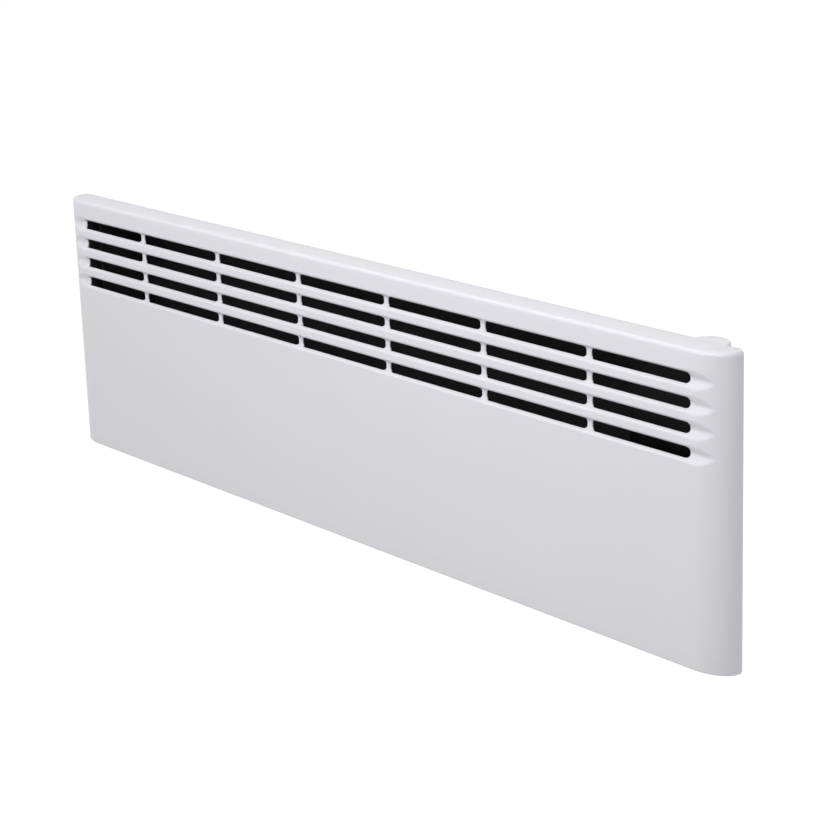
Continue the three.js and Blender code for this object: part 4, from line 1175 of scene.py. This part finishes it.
    def press(self) -> Rule:
        """The rule that presses the grooves and pierces the slots.

        Returns:
            The Geometry Nodes tree.
        """
        rule = Rule("pressed_grooves", {
            "Rows": self.rows, "First Row": self.first_row, "Pitch": self.pitch,
            "Depth": self.groove_depth, "Mouth Half": self.mouth_half, "Floor Half": self.floor_half,
            "Run Out Depth": self.run_out_depth, "Run Out Plain": self.run_out_plain,
            "Run Out Mouth": self.run_out_mouth, "Run Out Blend": self.run_out_blend,
            "Run Out Right": self.field_half - self.run_out_lap,
            "Face": self.face_y, "Slot Half": self.slot_half, "Slot Pitch": self.slot_pitch,
            "Bridge Offset": self.bridge_offset, "Bridge Reach": self.bridge_half + self.slot_corner,
            "Field Left": self.field_left, "Field Right": self.field_half - 2 * self.slot_half,
        })
        x, y, z = rule.places()
        face, first_row, pitch = rule.size("Face"), rule.size("First Row"), rule.size("Pitch")
        index = rule.maths("ROUND", (first_row - z) / pitch)
        row = rule.maths("MINIMUM", rule.maths("MAXIMUM", index, 0.0), rule.size("Rows") - 1.0)
        rise = rule.maths("ABSOLUTE", z - (first_row - row * pitch))
        pressed = rule.maths("MAXIMUM", y, face + self.trough(rule, rise, x))
        beat = (x - rule.size("Bridge Offset")) / rule.size("Slot Pitch")
        off_bridge = rule.maths("ABSOLUTE", rule.maths("FRACT", beat) - 0.5) * rule.size("Slot Pitch")
        clear = rule.compare("GREATER_THAN", off_bridge, rule.size("Bridge Reach"))
        in_field = rule.both(
            rule.compare("GREATER_THAN", x, rule.size("Field Left")),
            rule.compare("LESS_THAN", x, rule.size("Field Right")))
        in_slot = rule.compare("LESS_THAN", rise, rule.size("Slot Half"))
        on_face = rule.compare("LESS_THAN", y, face + rule.size("Depth"))
        hole = rule.both(rule.both(clear, in_field), rule.both(in_slot, on_face))
        pierced = rule.add("GeometryNodeDeleteGeometry", {
            "Geometry": rule.entry.outputs["Geometry"], "Selection": hole}, domain="FACE")
        rule.end(rule.placed(pierced.outputs[0], rule.vector(x, pressed, z)))
        return rule

    def build(self) -> Object:
        """Builds and dresses the casing.

        Returns:
            The piece.
        """
        obj = self.blank()
        self.press().run(obj, Palette.paint)
        wall = obj.modifiers.new("wall", "SOLIDIFY")
        wall.thickness = self.sheet
        wall.offset = -1.0
        wall.use_even_offset = True
        settle(obj)
        self.round_edges(obj)
        dress(obj, Palette.paint)
        smooth(obj, self.sharp_angle)
        return finish_piece(obj, Body.HEATER, Palette.paint, "front_casing")

    def round_edges(self, obj: Object) -> None:
        """Rounds the slots' lips and the flange's rear edges.

        Args:
            obj: The casing, with its wall.
        """
        with edited(obj.data) as build:
            build.normal_update()
            close = [
                edge for edge in build.edges
                if len(edge.link_faces) == 2 and not sharp(edge, self.rim_angle)
                and all(face.normal.y > self.rim_facing for face in edge.link_faces)
                and all(corner.co.y > self.rim_y - TOUCH for corner in edge.verts)
                and abs(edge.verts[0].co.z - edge.verts[1].co.z) < HAIR
                and self.half_height - self.rim_rows * self.rear_edge < abs(edge.verts[0].co.z)
            ]
            bmesh.ops.dissolve_edges(build, edges=close, use_verts=True)
            layer = build.edges.layers.float.new("bevel_weight_edge")
            for edge in build.edges:
                middle = middle_along(edge)
                if not sharp(edge, self.sharp_angle) or abs(middle.x) > self.rounded_reach:
                    continue
                high = abs(middle.z) > self.half_height - self.rear_band
                at_rear = high and middle.y > self.rim_y - self.rear_reach
                edge[layer] = 1.0 if at_rear else self.slot_edge / self.rear_edge
        bevelled(obj, self.rear_edge, self.edge_steps, slide=True)


# ---- Fasteners ------------------------------------------------------------------------------


@dataclass
class Fasteners:
    """Screws and rivets, made by one rule from the places of their seats.

    Attributes:
        head_radius: Radius of a head.
        screw_head: Height of a screw's head.
        rivet_head: Height of a rivet's head.
        screw_length: Shank of a screw.
        screw_shank: Radius of a screw's shank.
        rivet_shank: Radius of a rivet's body.
        rivet_radius: Radius of a rivet's head.
        recess_reach: Half the length of a screw's cross.
        recess_width: Width of the cross.
        recess_depth: Depth of the cross.
        recess_step: Depth of the cross's second arm, as a share of the first's.
        pit_reach: Radius of the pit in a rivet's head.
        pit_depth: Depth of the pit.
        overlap: How far a shank reaches into its head.
        flank: Share of a head's height below its dome.
        dome_end: Share of a head's height where its dome would close.
        dome_least: Share of a head's radius that is left there.
        head_sides: Points round a head.
        head_rings: Steps up a head.
        shank_sides: Points round a shank or a pit.
        sharp_angle: Edges sharper than this many degrees show as edges.
        seed: Seed of the screws' random turns.
    """

    head_radius: float = 0.0035
    screw_head: float = 0.002
    rivet_head: float = 0.0014
    screw_length: float = 0.006
    screw_shank: float = 0.0015
    rivet_shank: float = 0.002
    rivet_radius: float = 0.0036
    recess_reach: float = 0.002
    recess_width: float = 0.0008
    recess_depth: float = 0.0011
    recess_step: float = 0.96
    pit_reach: float = 0.0011
    pit_depth: float = 0.0007
    overlap: float = 0.0004
    flank: float = 0.3
    dome_end: float = 1.02
    dome_least: float = 0.3
    head_sides: int = 40
    head_rings: int = 12
    shank_sides: int = 24
    sharp_angle: float = 30.0
    seed: int = 11

    def rule(self) -> Rule:
        """The rule: a domed head with its recess and a shank, turned and placed at every seat.

        Returns:
            The Geometry Nodes tree.
        """
        rule = Rule("fasteners", {
            "Head Radius": self.head_radius, "Head Height": self.screw_head,
            "Shank Radius": self.screw_shank, "Shank Length": self.screw_length,
            "Recess Reach": self.recess_reach, "Recess Width": self.recess_width,
            "Recess Depth": self.recess_depth, "Crossed": 1, "Lean": -math.pi / 2, "Turn": math.tau,
            "Seed": self.seed,
        })
        height, reach, width = rule.size("Head Height"), rule.size("Recess Reach"), rule.size("Recess Width")
        drum = rule.moved(
            rule.rod(rule.size("Head Radius"), height, self.head_sides, self.head_rings), z=height * 0.5)
        head = rule.shaped(drum, lambda x, y, z: rule.drawn_in(
            z, height * self.flank, height * self.dome_end, self.dome_least))
        length = rule.size("Shank Length") + self.overlap
        shank = rule.moved(
            rule.rod(rule.size("Shank Radius"), length, self.shank_sides), z=self.overlap - length * 0.5)
        deep, span = rule.size("Recess Depth") * 2.0, reach * 2.0
        cross = rule.merged(rule.box(span, width, deep), rule.box(width, span, deep * self.recess_step))
        tool = rule.add("GeometryNodeSwitch", {
            "Switch": rule.compare("GREATER_THAN", rule.size("Crossed"), 0.5),
            "False": rule.rod(reach, deep, self.shank_sides), "True": cross}, input_type="GEOMETRY")
        body = rule.without(rule.merged(head, shank), rule.moved(tool.outputs[0], z=height))
        placed = rule.add("GeometryNodeInstanceOnPoints", {
            "Points": rule.entry.outputs["Geometry"], "Instance": body,
            "Rotation": rule.turn(x=rule.size("Lean"))})
        chance = rule.add("FunctionNodeRandomValue", {
            3: rule.size("Turn"), "Seed": rule.size("Seed")}, data_type="FLOAT")
        turned_each = rule.add("GeometryNodeRotateInstances", {
            "Instances": placed.outputs[0], "Rotation": rule.turn(z=chance.outputs[1])})
        rule.end(turned_each.outputs[0])
        return rule

    def set_of(
        self, rule: Rule, name: str, body: Body, nodes: list[str], seat: Callable[[str], Point],
        **sizes: float,
    ) -> None:
        """Makes one set of fasteners in place of the frame's.

        Args:
            rule: The fasteners' rule.
            name: The set's name.
            body: The body it rides on.
            nodes: The frame's nodes that it stands for.
            seat: Gives the seat of a node's head.
            sizes: Named sizes of the rule.
        """
        obj = mesh_object(name, [seat(node) for node in nodes], [])
        rule.run(obj, Palette.zinc, **sizes)
        smooth(obj, self.sharp_angle)
        finish_piece(obj, body, Palette.zinc, *nodes)

    def rear_seat(self, node: str) -> Point:
        """The seat of a screw whose head points to the wall."""
        middle = middle_of(node)
        return (middle.x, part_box(node)[1].y - self.screw_head, middle.z)

    def front_seat(self, node: str) -> Point:
        """The seat of a rivet whose head points away from the wall."""
        middle = middle_of(node)
        return (middle.x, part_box(node)[0].y + self.rivet_head, middle.z)

    def build(self) -> None:
        """Makes every set."""
        rule = self.rule()
        screws = [f"casing_screw_{i}" for i in range(1, 9)] + ["lug_screw_left", "lug_screw_right"]
        self.set_of(rule, "casing_screws", Body.HEATER, screws, self.rear_seat)
        for name, nodes in (
            ("rail_rivets", [f"rail_rivet_{i}" for i in range(1, 5)]),
            ("clip_rivets", ["clip_rivet_left", "clip_rivet_right"]),
        ):
            self.set_of(
                rule, name, Body.BRACKET, nodes, self.front_seat,
                Head_Radius=self.rivet_radius, Head_Height=self.rivet_head,
                Shank_Radius=self.rivet_shank, Shank_Length=-self.front_seat(nodes[0])[1],
                Recess_Reach=self.pit_reach, Recess_Depth=self.pit_depth, Crossed=0, Lean=math.pi / 2)


# ---- Rear casing, hangers and wall bracket --------------------------------------------------


@dataclass
class RearCasing:
    """The folded tray behind the front, with its flange and openings.

    Attributes:
        back_y: Its back's place.
        half_height: Half its height at the back.
        bend_edge: Rounding of a bend.
        cut_edge: Rounding of a cut edge.
    """

    back_y: float = -0.030
    half_height: float = 0.088
    bend_edge: float = 0.0014
    cut_edge: float = 0.00025

    def at_fold(self, at: Vector) -> bool:
        """True where the back folds into the top or the bottom."""
        return at.y > self.back_y - TOUCH and abs(at.z) > self.half_height - TOUCH

    def build(self) -> None:
        """Builds and dresses the tray."""
        softened(
            "rear_casing", "tray_shell", Body.HEATER, Palette.paint, self.cut_edge,
            bend=self.at_fold, bend_edge=self.bend_edge, segments=3)


@dataclass
class Hangers:
    """Lugs and hinge pins on the tray's back.

    Attributes:
        lug_edge: Rounding of a lug.
        pin_edge: Rounding of a pin.
    """

    lug_edge: float = 0.0004
    pin_edge: float = 0.0005

    def build(self) -> None:
        """Builds and dresses both sides."""
        for side in ("left", "right"):
            for node, name, edge in (
                ("hanger_lug", "hanger", self.lug_edge), ("hinge_pin", "pivot_pin", self.pin_edge),
            ):
                softened(f"{node}_{side}", f"{name}_{side}", Body.HEATER, Palette.zinc, edge)


@dataclass
class WallBracket:
    """Uprights with open hooks, the joggled cross rail and the spring clips.

    Attributes:
        sheet_edge: Rounding of the sheet's cut edges.
        bend_edge: Rounding of an upright's bends.
        clip_edge: Rounding of a spring clip.
        half_width: Half an upright's width.
        upright_x: The uprights' distance from the middle.
    """

    sheet_edge: float = 0.0003
    bend_edge: float = 0.0012
    clip_edge: float = 0.00015
    half_width: float = 0.015
    upright_x: float = 0.2

    def at_web(self, at: Vector) -> bool:
        """True where an upright's flange leaves its web."""
        return at.y > -TOUCH and abs(abs(abs(at.x) - self.upright_x) - self.half_width) < TOUCH

    def build(self) -> None:
        """Builds and dresses the bracket."""
        for side in ("left", "right"):
            softened(
                f"bracket_upright_{side}", f"upright_{side}", Body.BRACKET, Palette.zinc, self.sheet_edge,
                bend=self.at_web, bend_edge=self.bend_edge, segments=3)
            softened(
                f"bracket_clip_{side}", f"spring_clip_{side}", Body.BRACKET, Palette.spring, self.clip_edge)
        softened("bracket_rail", "cross_rail", Body.BRACKET, Palette.zinc, self.sheet_edge)


# ---- Controls -------------------------------------------------------------------------------


def lettering(
    name: str, words: list[tuple[str, Point, float]], height: float, raised: float,
) -> Object:
    """Raised figures that face up.

    Args:
        name: The object's name.
        words: For each figure: what it is, its middle, and its turn about Z.
        height: The figures' height.
        raised: How far they stand up.

    Returns:
        The object.
    """
    build = bmesh.new()
    for text, place, turn in words:
        curve = bpy.data.curves.new(name, "FONT")
        curve.body = text
        curve.size = height / FIGURE_SHARE
        curve.align_x = "CENTER"
        curve.align_y = "CENTER"
        curve.extrude = raised
        curve.resolution_u = FIGURE_STEPS
        figure = bpy.data.objects.new(name, curve)
        part = bpy.data.meshes.new_from_object(figure)
        part.transform(Matrix.Translation(place) @ Matrix.Rotation(turn, 4, "Z"))
        build.from_mesh(part)
        bpy.data.objects.remove(figure)
    bmesh.ops.remove_doubles(build, verts=build.verts, dist=HAIR)
    bmesh.ops.recalc_face_normals(build, faces=build.faces)
    return kept(build, name)


@dataclass
class Dial:
    """The thermostat dial: a ribbed drum with a pointer notch and figures.

    Attributes:
        radius: Over the ribs.
        rib_depth: Depth of the ribs.
        ribs: Ribs round the side.
        edge: Rounding of the top edge.
        bore: Radius of the shaft's bore.
        notch: Width of the pointer notch.
        notch_inner: Inner end of the notch from the axis.
        figures: Figures on the top.
        figure_turn: Degrees from one figure to the next.
        figure_at: Distance of the figures from the axis.
        figure_height: Height of a figure.
        figure_raised: How far a figure stands up.
        pointer_gap: Gap on each side of the pointer in its notch.
        pointer_inner: How far its inner end is from the notch's.
        pointer_outer: How far its outer end is from the ribs.
        pointer_span: Its foot and its top, as shares of the notch's depth from the dial's top.
        rib_points: Points round each rib.
        rings: Steps up the drum.
        bore_sides: Points round the bore.
        margin: How far the ribs' end and the notch go past the edge, as a share.
        sharp_angle: Edges sharper than this many degrees show as edges.
    """

    radius: float = 0.0136
    rib_depth: float = 0.00045
    ribs: int = 40
    edge: float = 0.001
    bore: float = 0.0032
    notch: float = 0.0012
    notch_inner: float = 0.0061
    figures: tuple[str, ...] = ("1", "2", "3", "4", "5")
    figure_turn: float = 54.0
    figure_at: float = 0.0094
    figure_height: float = 0.0030
    figure_raised: float = 0.00012
    pointer_gap: float = 0.00005
    pointer_inner: float = 0.0001
    pointer_outer: float = 0.0009
    pointer_span: Flat = (1.05, 0.45)
    rib_points: int = 6
    rings: int = 26
    bore_sides: int = 48
    margin: float = 1.2
    sharp_angle: float = 30.0

    def rule(self, height: float) -> Rule:
        """The rule for the drum: ribs round the side, a rounded edge, a bore and the notch.

        Args:
            height: The drum's height.

        Returns:
            The Geometry Nodes tree.
        """
        rule = Rule("ribbed_drum", {
            "Radius": self.radius, "Height": height, "Ribs": float(self.ribs), "Rib Depth": self.rib_depth,
            "Edge": self.edge, "Bore": self.bore, "Notch": self.notch, "Notch Inner": self.notch_inner})
        tall, radius = rule.size("Height"), rule.size("Radius")
        edge, inner = rule.size("Edge"), rule.size("Notch Inner")
        drum = rule.moved(rule.rod(radius, tall, self.rib_points * self.ribs, self.rings), z=tall * 0.5)

        def share(x: Number, y: Number, z: Number) -> Number:
            """Draws in the hollows between the ribs and the top edge.

            Args:
                x: A point's X.
                y: Its Y.
                z: Its height.

            Returns:
                The share of its distance from the axis that it keeps.
            """
            beat = rule.maths("COSINE", rule.maths("ARCTAN2", y, x) * rule.size("Ribs"))
            top = tall - edge * self.margin
            fade = rule.ranged(z, top - edge, top, 1.0, 0.0)
            ribbed = 1.0 - (1.0 - beat) * 0.5 * fade * (rule.size("Rib Depth") / radius)
            return ribbed * rule.drawn_in(z, tall - edge, tall, 1.0 - edge / radius)

        long = radius * self.margin - inner
        notch = rule.moved(
            rule.box(rule.size("Notch"), long, rule.size("Notch")), y=(inner + (inner + long)) * -0.5, z=tall)
        bore = rule.rod(rule.size("Bore"), tall, self.bore_sides)
        body = rule.without(rule.shaped(drum, share), bore, notch)
        rule.end(rule.moved(body, *middle_of("dial").xy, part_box("dial")[0].z))
        return rule

    def build(self) -> None:
        """Builds and dresses the dial, its pointer and its figures."""
        low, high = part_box("dial")
        middle = (low + high) / 2
        obj = mesh_object("dial_knob", [], [])
        self.rule(high.z - low.z).run(obj, Palette.white_plastic)
        smooth(obj, self.sharp_angle)
        finish_piece(obj, Body.DIAL, Palette.white_plastic, "dial")
        half = self.notch / 2 - self.pointer_gap
        ends = (self.notch_inner + self.pointer_inner, self.radius - self.pointer_outer)
        points = [
            (middle.x + dx, middle.y - r, high.z - self.notch / 2 * share)
            for dx in (-half, half) for r in ends for share in self.pointer_span]
        pointer = outward(mesh_object("dial_pointer", points, [
            (0, 1, 3, 2), (4, 6, 7, 5), (0, 4, 5, 1), (2, 3, 7, 6), (1, 5, 7, 3), (0, 2, 6, 4)]))
        dress(pointer, Palette.grey)
        finish_piece(pointer, Body.DIAL, Palette.grey)
        words = []
        for i, figure in enumerate(self.figures):
            turn = math.radians(self.figure_turn * (i + 1))
            x, y = self.figure_at * math.sin(turn), self.figure_at * math.cos(turn)
            words.append((figure, (middle.x + x, middle.y - y, high.z), turn))
        figures = lettering("dial_figures", words, self.figure_height, self.figure_raised)
        dress(figures, Palette.white_plastic)
        finish_piece(figures, Body.DIAL, Palette.white_plastic)


@dataclass
class Controls:
    """Lamp lens, power switch, rocker and cable gland.

    Attributes:
        lens_sides: Points round the lens.
        lens_steps: Steps up its dome.
        lens_angle: Edges sharper than this many degrees show as edges.
        stem: Radius of its stem.
        rim: Radius of its rim.
        rim_height: Height of the rim.
        rim_flank: Share of that height below the rim's chamfer.
        rim_chamfer: Width of the chamfer.
        dome_step: How far the dome stands in from the rim.
        dome: Height of the dome above the lens's seat.
        bezel_edge: Rounding of the switch's bezel.
        rocker_edge: Rounding of the rocker.
        gland_edge: Rounding of the gland.
        ring: Half width and half height of the off mark, outside and inside.
        ring_z: The off mark's height over the rocker's middle.
        bar: Half width and half height of the on mark, outside and inside.
        bar_z: The on mark's height over the rocker's middle.
        mark_sides: Points round a mark.
        mark_rise: How far a mark stands out, and how far it is sunk.
        outside: An X well outside the rocker.
    """

    lens_sides: int = 48
    lens_steps: int = 8
    lens_angle: float = 40.0
    stem: float = 0.0024
    rim: float = 0.0034
    rim_height: float = 0.0008
    rim_flank: float = 0.7
    rim_chamfer: float = 0.0002
    dome_step: float = 0.0005
    dome: float = 0.0022
    bezel_edge: float = 0.0005
    rocker_edge: float = 0.0004
    gland_edge: float = 0.0005
    ring: tuple[Flat, Flat] = ((0.0013, 0.0016), (0.0009, 0.0012))
    ring_z: float = -0.0046
    bar: tuple[Flat, Flat] = ((0.00028, 0.0016), (0.00001, 0.0015))
    bar_z: float = 0.0050
    mark_sides: int = 24
    mark_rise: float = 0.0001
    outside: float = 0.4

    def lens(self) -> None:
        """Builds the domed lens and its stem."""
        low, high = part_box("indicator_lens")
        seat = high.z - self.dome
        profile = [(0.0, low.z - seat), (self.stem, low.z - seat), (self.stem, 0.0), (self.rim, 0.0)]
        profile.append((self.rim, self.rim_height * self.rim_flank))
        profile.append((self.rim - self.rim_chamfer, self.rim_height))
        rise = self.dome - self.rim_height
        for i in range(self.lens_steps):
            angle = math.pi / 2 * i / self.lens_steps
            profile.append((
                (self.rim - self.dome_step) * math.cos(angle), self.rim_height + rise * math.sin(angle)))
        profile.append((0.0, self.dome))
        middle = middle_of("indicator_lens")
        obj = turned("lamp_lens", profile, (middle.x, middle.y, seat), self.lens_sides)
        dress(obj, Palette.amber)
        smooth(obj, self.lens_angle)
        finish_piece(obj, Body.HEATER, Palette.amber, "indicator_lens")

    def laid(self, name: str, outlines: list[list[list[Flat]]]) -> None:
        """Lays raised marks on the rocker's cap.

        Args:
            name: The piece's name.
            outlines: For each mark, its outer and its inner points as Y and Z.
        """
        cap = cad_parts["rocker"].data
        tree = BVHTree.FromPolygons([v.co for v in cap.vertices], [tuple(p.vertices) for p in cap.polygons])
        points: list[Point] = []
        faces: Faces = []
        for outer, inner in outlines:
            start = len(points)
            for y, z in outer + inner:
                hit, normal, _, _ = tree.ray_cast(Vector((self.outside, y, z)), Vector((-1.0, 0.0, 0.0)))
                points += [tuple(hit + normal * self.mark_rise), tuple(hit - normal * self.mark_rise)]
            count = len(outer)
            for i in range(count):
                j = (i + 1) % count
                a, b, c, d = (start + 2 * k for k in (i, j, count + j, count + i))
                faces += [
                    (a, b, c, d), (d + 1, c + 1, b + 1, a + 1),
                    (a + 1, b + 1, b, a), (d, c, c + 1, d + 1)]
        obj = outward(mesh_object(name, points, faces))
        dress(obj, Palette.paint)
        finish_piece(obj, Body.ROCKER, Palette.paint)

    def marks(self) -> None:
        """Lays the bar and the ring on the rocker, for on and off."""
        middle = middle_of("rocker")
        angles = [math.tau * i / self.mark_sides for i in range(self.mark_sides)]
        self.laid("rocker_marks", [
            [
                [(middle.y + y * math.cos(a), middle.z + at + z * math.sin(a)) for a in angles]
                for y, z in radii
            ]
            for radii, at in ((self.ring, self.ring_z), (self.bar, self.bar_z))])

    def build(self) -> None:
        """Builds and dresses the controls."""
        self.lens()
        black = Palette.black_plastic
        softened("switch_body", "switch_housing", Body.HEATER, black, self.bezel_edge, segments=3)
        softened("rocker", "rocker_cap", Body.ROCKER, black, self.rocker_edge, segments=3)
        self.marks()
        softened("cable_gland", "gland_body", Body.HEATER, black, self.gland_edge)
        softened("gland_nut", "gland_locknut", Body.HEATER, black, self.gland_edge / 2)


# ---- Studio ---------------------------------------------------------------------------------


@dataclass(frozen=True)
class Lamp:
    """A soft lamp.

    Attributes:
        name: Its name.
        place: Where it hangs.
        aim: What it points at.
        width: Its width, in metres.
        height: Its height, in metres.
        power: Its power, in watts.
    """

    name: str
    place: Point
    aim: Point
    width: float
    height: float
    power: float

    def build(self) -> None:
        """Makes the lamp."""
        data = bpy.data.lights.new(self.name, "AREA")
        data.shape = "RECTANGLE"
        data.size = self.width
        data.size_y = self.height
        data.energy = self.power
        obj = linked(self.name, data)
        obj.location = self.place
        obj.rotation_mode = "QUATERNION"
        obj.rotation_quaternion = (Vector(self.aim) - Vector(self.place)).to_track_quat("-Z", "Y")


@dataclass
class Studio:
    """Floor, light and camera.

    Attributes:
        eye: The camera's place.
        azimuth: Degrees round the heater from straight ahead.
        elevation: Degrees above the horizon.
        roll: Degrees about the line of sight.
        lens: Focal length in millimetres.
        sensor: Width of the sensor in millimetres.
        clip: The nearest and the farthest that the camera sees.
        floor_z: The floor's height.
        floor_reach: How far the floor goes on every side.
        floor_tones: The darkest and the lightest grey of its paint.
        floor_spots: Spots of that paint per metre.
        floor_roughness: Its roughness.
        floor_specular: Its specular level.
        floor_glow: Light that the floor gives of itself.
        fill: Brightness of the surroundings from all sides.
        sky: Colour of the surroundings' light.
        glow: How the surroundings grow brighter along each axis.
        lamps: The lamps.
    """

    eye: Point = (1.2945, -1.0653, 0.4613)
    azimuth: float = 51.17
    elevation: float = 16.15
    roll: float = -1.97
    lens: float = 104.55
    sensor: float = 36.0
    clip: Flat = (0.05, 60.0)
    floor_z: float = -1.6
    floor_reach: float = 14.0
    floor_tones: Flat = (0.97, 0.98)
    floor_spots: float = 3.0
    floor_roughness: float = 0.9
    floor_specular: float = 0.1
    floor_glow: float = 0.52
    fill: float = 0.67
    sky: Colour = (0.99, 0.985, 1.0)
    glow: Point = (-0.09, 0.165, -0.20)
    lamps: tuple[Lamp, ...] = (
        Lamp("key_lamp", (-3.05, -0.65, 3.7), (0.0, -0.08, 0.1), width=1.1, height=2.2, power=26.0),
        Lamp("near_lamp", (0.15, -0.75, 0.80), (0.05, -0.085, 0.0), width=1.3, height=0.35, power=7.6),
    )

    def camera(self) -> None:
        """Makes the camera at the photograph's place."""
        data = bpy.data.cameras.new("camera")
        data.lens = self.lens
        data.sensor_width = self.sensor
        data.clip_start, data.clip_end = self.clip
        obj = linked("camera", data)
        az, el, ro = (math.radians(v) for v in (self.azimuth, self.elevation, self.roll))
        ahead = Vector((-math.sin(az) * math.cos(el), math.cos(az) * math.cos(el), -math.sin(el)))
        right = Vector((math.cos(az), math.sin(az), 0.0))
        up = right.cross(ahead)
        across = right * math.cos(ro) + up * math.sin(ro)
        upward = up * math.cos(ro) - right * math.sin(ro)
        turn = Matrix((across, upward, -ahead)).transposed().to_4x4()
        obj.matrix_world = Matrix.Translation(self.eye) @ turn
        bpy.context.scene.camera = obj

    def floor(self) -> None:
        """Makes the plain pale floor, far below, which gives back a little light of its own."""
        ends = (-self.floor_reach, self.floor_reach)
        obj = mesh_object("floor", [(x, y, self.floor_z) for x in ends for y in ends], [(0, 2, 3, 1)])
        shader = Shader("floor_paint")
        spots = shader.noise(shader.mapped(EVEN), self.floor_spots)
        shader.tinted(spots, *((tone, tone, tone) for tone in self.floor_tones))
        shader.surface.inputs["Roughness"].default_value = self.floor_roughness
        shader.surface.inputs["Specular IOR Level"].default_value = self.floor_specular
        shader.surface.inputs["Emission Color"].default_value = (1.0, 1.0, 1.0, 1.0)
        shader.surface.inputs["Emission Strength"].default_value = self.floor_glow
        obj.data.materials.append(shader.material)
        obj.visible_diffuse = False
        obj.visible_glossy = False

    def world(self) -> None:
        """Makes the white surroundings: white to the eye, softer as light."""
        world = bpy.data.worlds.new("surroundings")
        world.use_nodes = True
        nodes, links = world.node_tree.nodes, world.node_tree.links
        nodes.clear()
        seen, cast = (nodes.new("ShaderNodeBackground") for _ in range(2))
        seen.inputs["Color"].default_value = (1.0, 1.0, 1.0, 1.0)
        cast.inputs["Color"].default_value = (*self.sky, 1.0)
        towards = nodes.new("ShaderNodeVectorMath")
        towards.operation = "DOT_PRODUCT"
        towards.inputs[1].default_value = self.glow
        links.new(nodes.new("ShaderNodeTexCoord").outputs["Generated"], towards.inputs[0])
        last = towards.outputs["Value"]
        for operation, value in (("ADD", self.fill), ("MAXIMUM", 0.0)):
            step = nodes.new("ShaderNodeMath")
            step.operation = operation
            step.inputs[1].default_value = value
            links.new(last, step.inputs[0])
            last = step.outputs[0]
        links.new(last, cast.inputs["Strength"])
        path = nodes.new("ShaderNodeLightPath")
        mix = nodes.new("ShaderNodeMixShader")
        output = nodes.new("ShaderNodeOutputWorld")
        links.new(path.outputs["Is Camera Ray"], mix.inputs["Fac"])
        links.new(cast.outputs[0], mix.inputs[1])
        links.new(seen.outputs[0], mix.inputs[2])
        links.new(mix.outputs[0], output.inputs["Surface"])
        bpy.context.scene.world = world

    def build(self) -> None:
        """Builds the studio."""
        self.camera()
        self.floor()
        self.world()
        for lamp in self.lamps:
            lamp.build()
        bpy.context.scene.view_settings.view_transform = "Standard"
        log.info("studio: camera, floor, surroundings and lamps")


# ---- Assembly -------------------------------------------------------------------------------


@dataclass
class KeptNodes:
    """The frame's nodes that keep their own mesh.

    Attributes:
        finishes: The finish of each node, by how its name begins.
    """

    finishes: dict[str, Finish] = field(default_factory=lambda: {
        # Inner heat shields and duct ends in black enamel: their own finish, and painted shade seen through
        # the slots.
        "rear_heat_shield": Palette.enamel_and_shade,
        "front_heat_shield": Palette.enamel_and_shade,
        "duct_end": Palette.enamel_and_shade,
        "element_fins": Palette.aluminium,
        "element_tube": Palette.spring,
        "element_bush": Palette.ceramic,
        "overheat_cutout": Palette.ceramic,
        "control_housing": Palette.black_plastic,
        "control_cover": Palette.black_plastic,
        "circuit_board": Palette.board,
        "relay": Palette.relay,
        "terminal_block": Palette.white_plastic,
        "dial_potentiometer": Palette.black_plastic,
        "dial_shaft": Palette.zinc,
        "air_sensor": Palette.black_plastic,
        "lead_live": Palette.brown,
        "lead_neutral": Palette.blue,
        "lead_return": Palette.grey,
    })

    def finish_of(self, node: str) -> Finish:
        """The finish of the longest name that a node's name starts with, or else zinc."""
        fits = [name for name in self.finishes if node.startswith(name)]
        return self.finishes[max(fits, key=len)] if fits else Palette.zinc

    def build(self) -> None:
        """Dresses every node that still shows."""
        for name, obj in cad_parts.items():
            if obj.hide_render:
                continue
            finish = self.finish_of(name)
            dress(obj, finish)
            log.info("%s: kept, %s", name, finish.slot)


def main() -> None:
    """Builds every sub-assembly in order."""
    logging.basicConfig(level=logging.INFO, format="%(message)s", stream=sys.stdout)
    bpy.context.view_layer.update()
    Studio().build()
    FrontCasing().build()
    RearCasing().build()
    Fasteners().build()
    Dial().build()
    Controls().build()
    Hangers().build()
    WallBracket().build()
    KeptNodes().build()


if __name__ == "__main__":
    main()
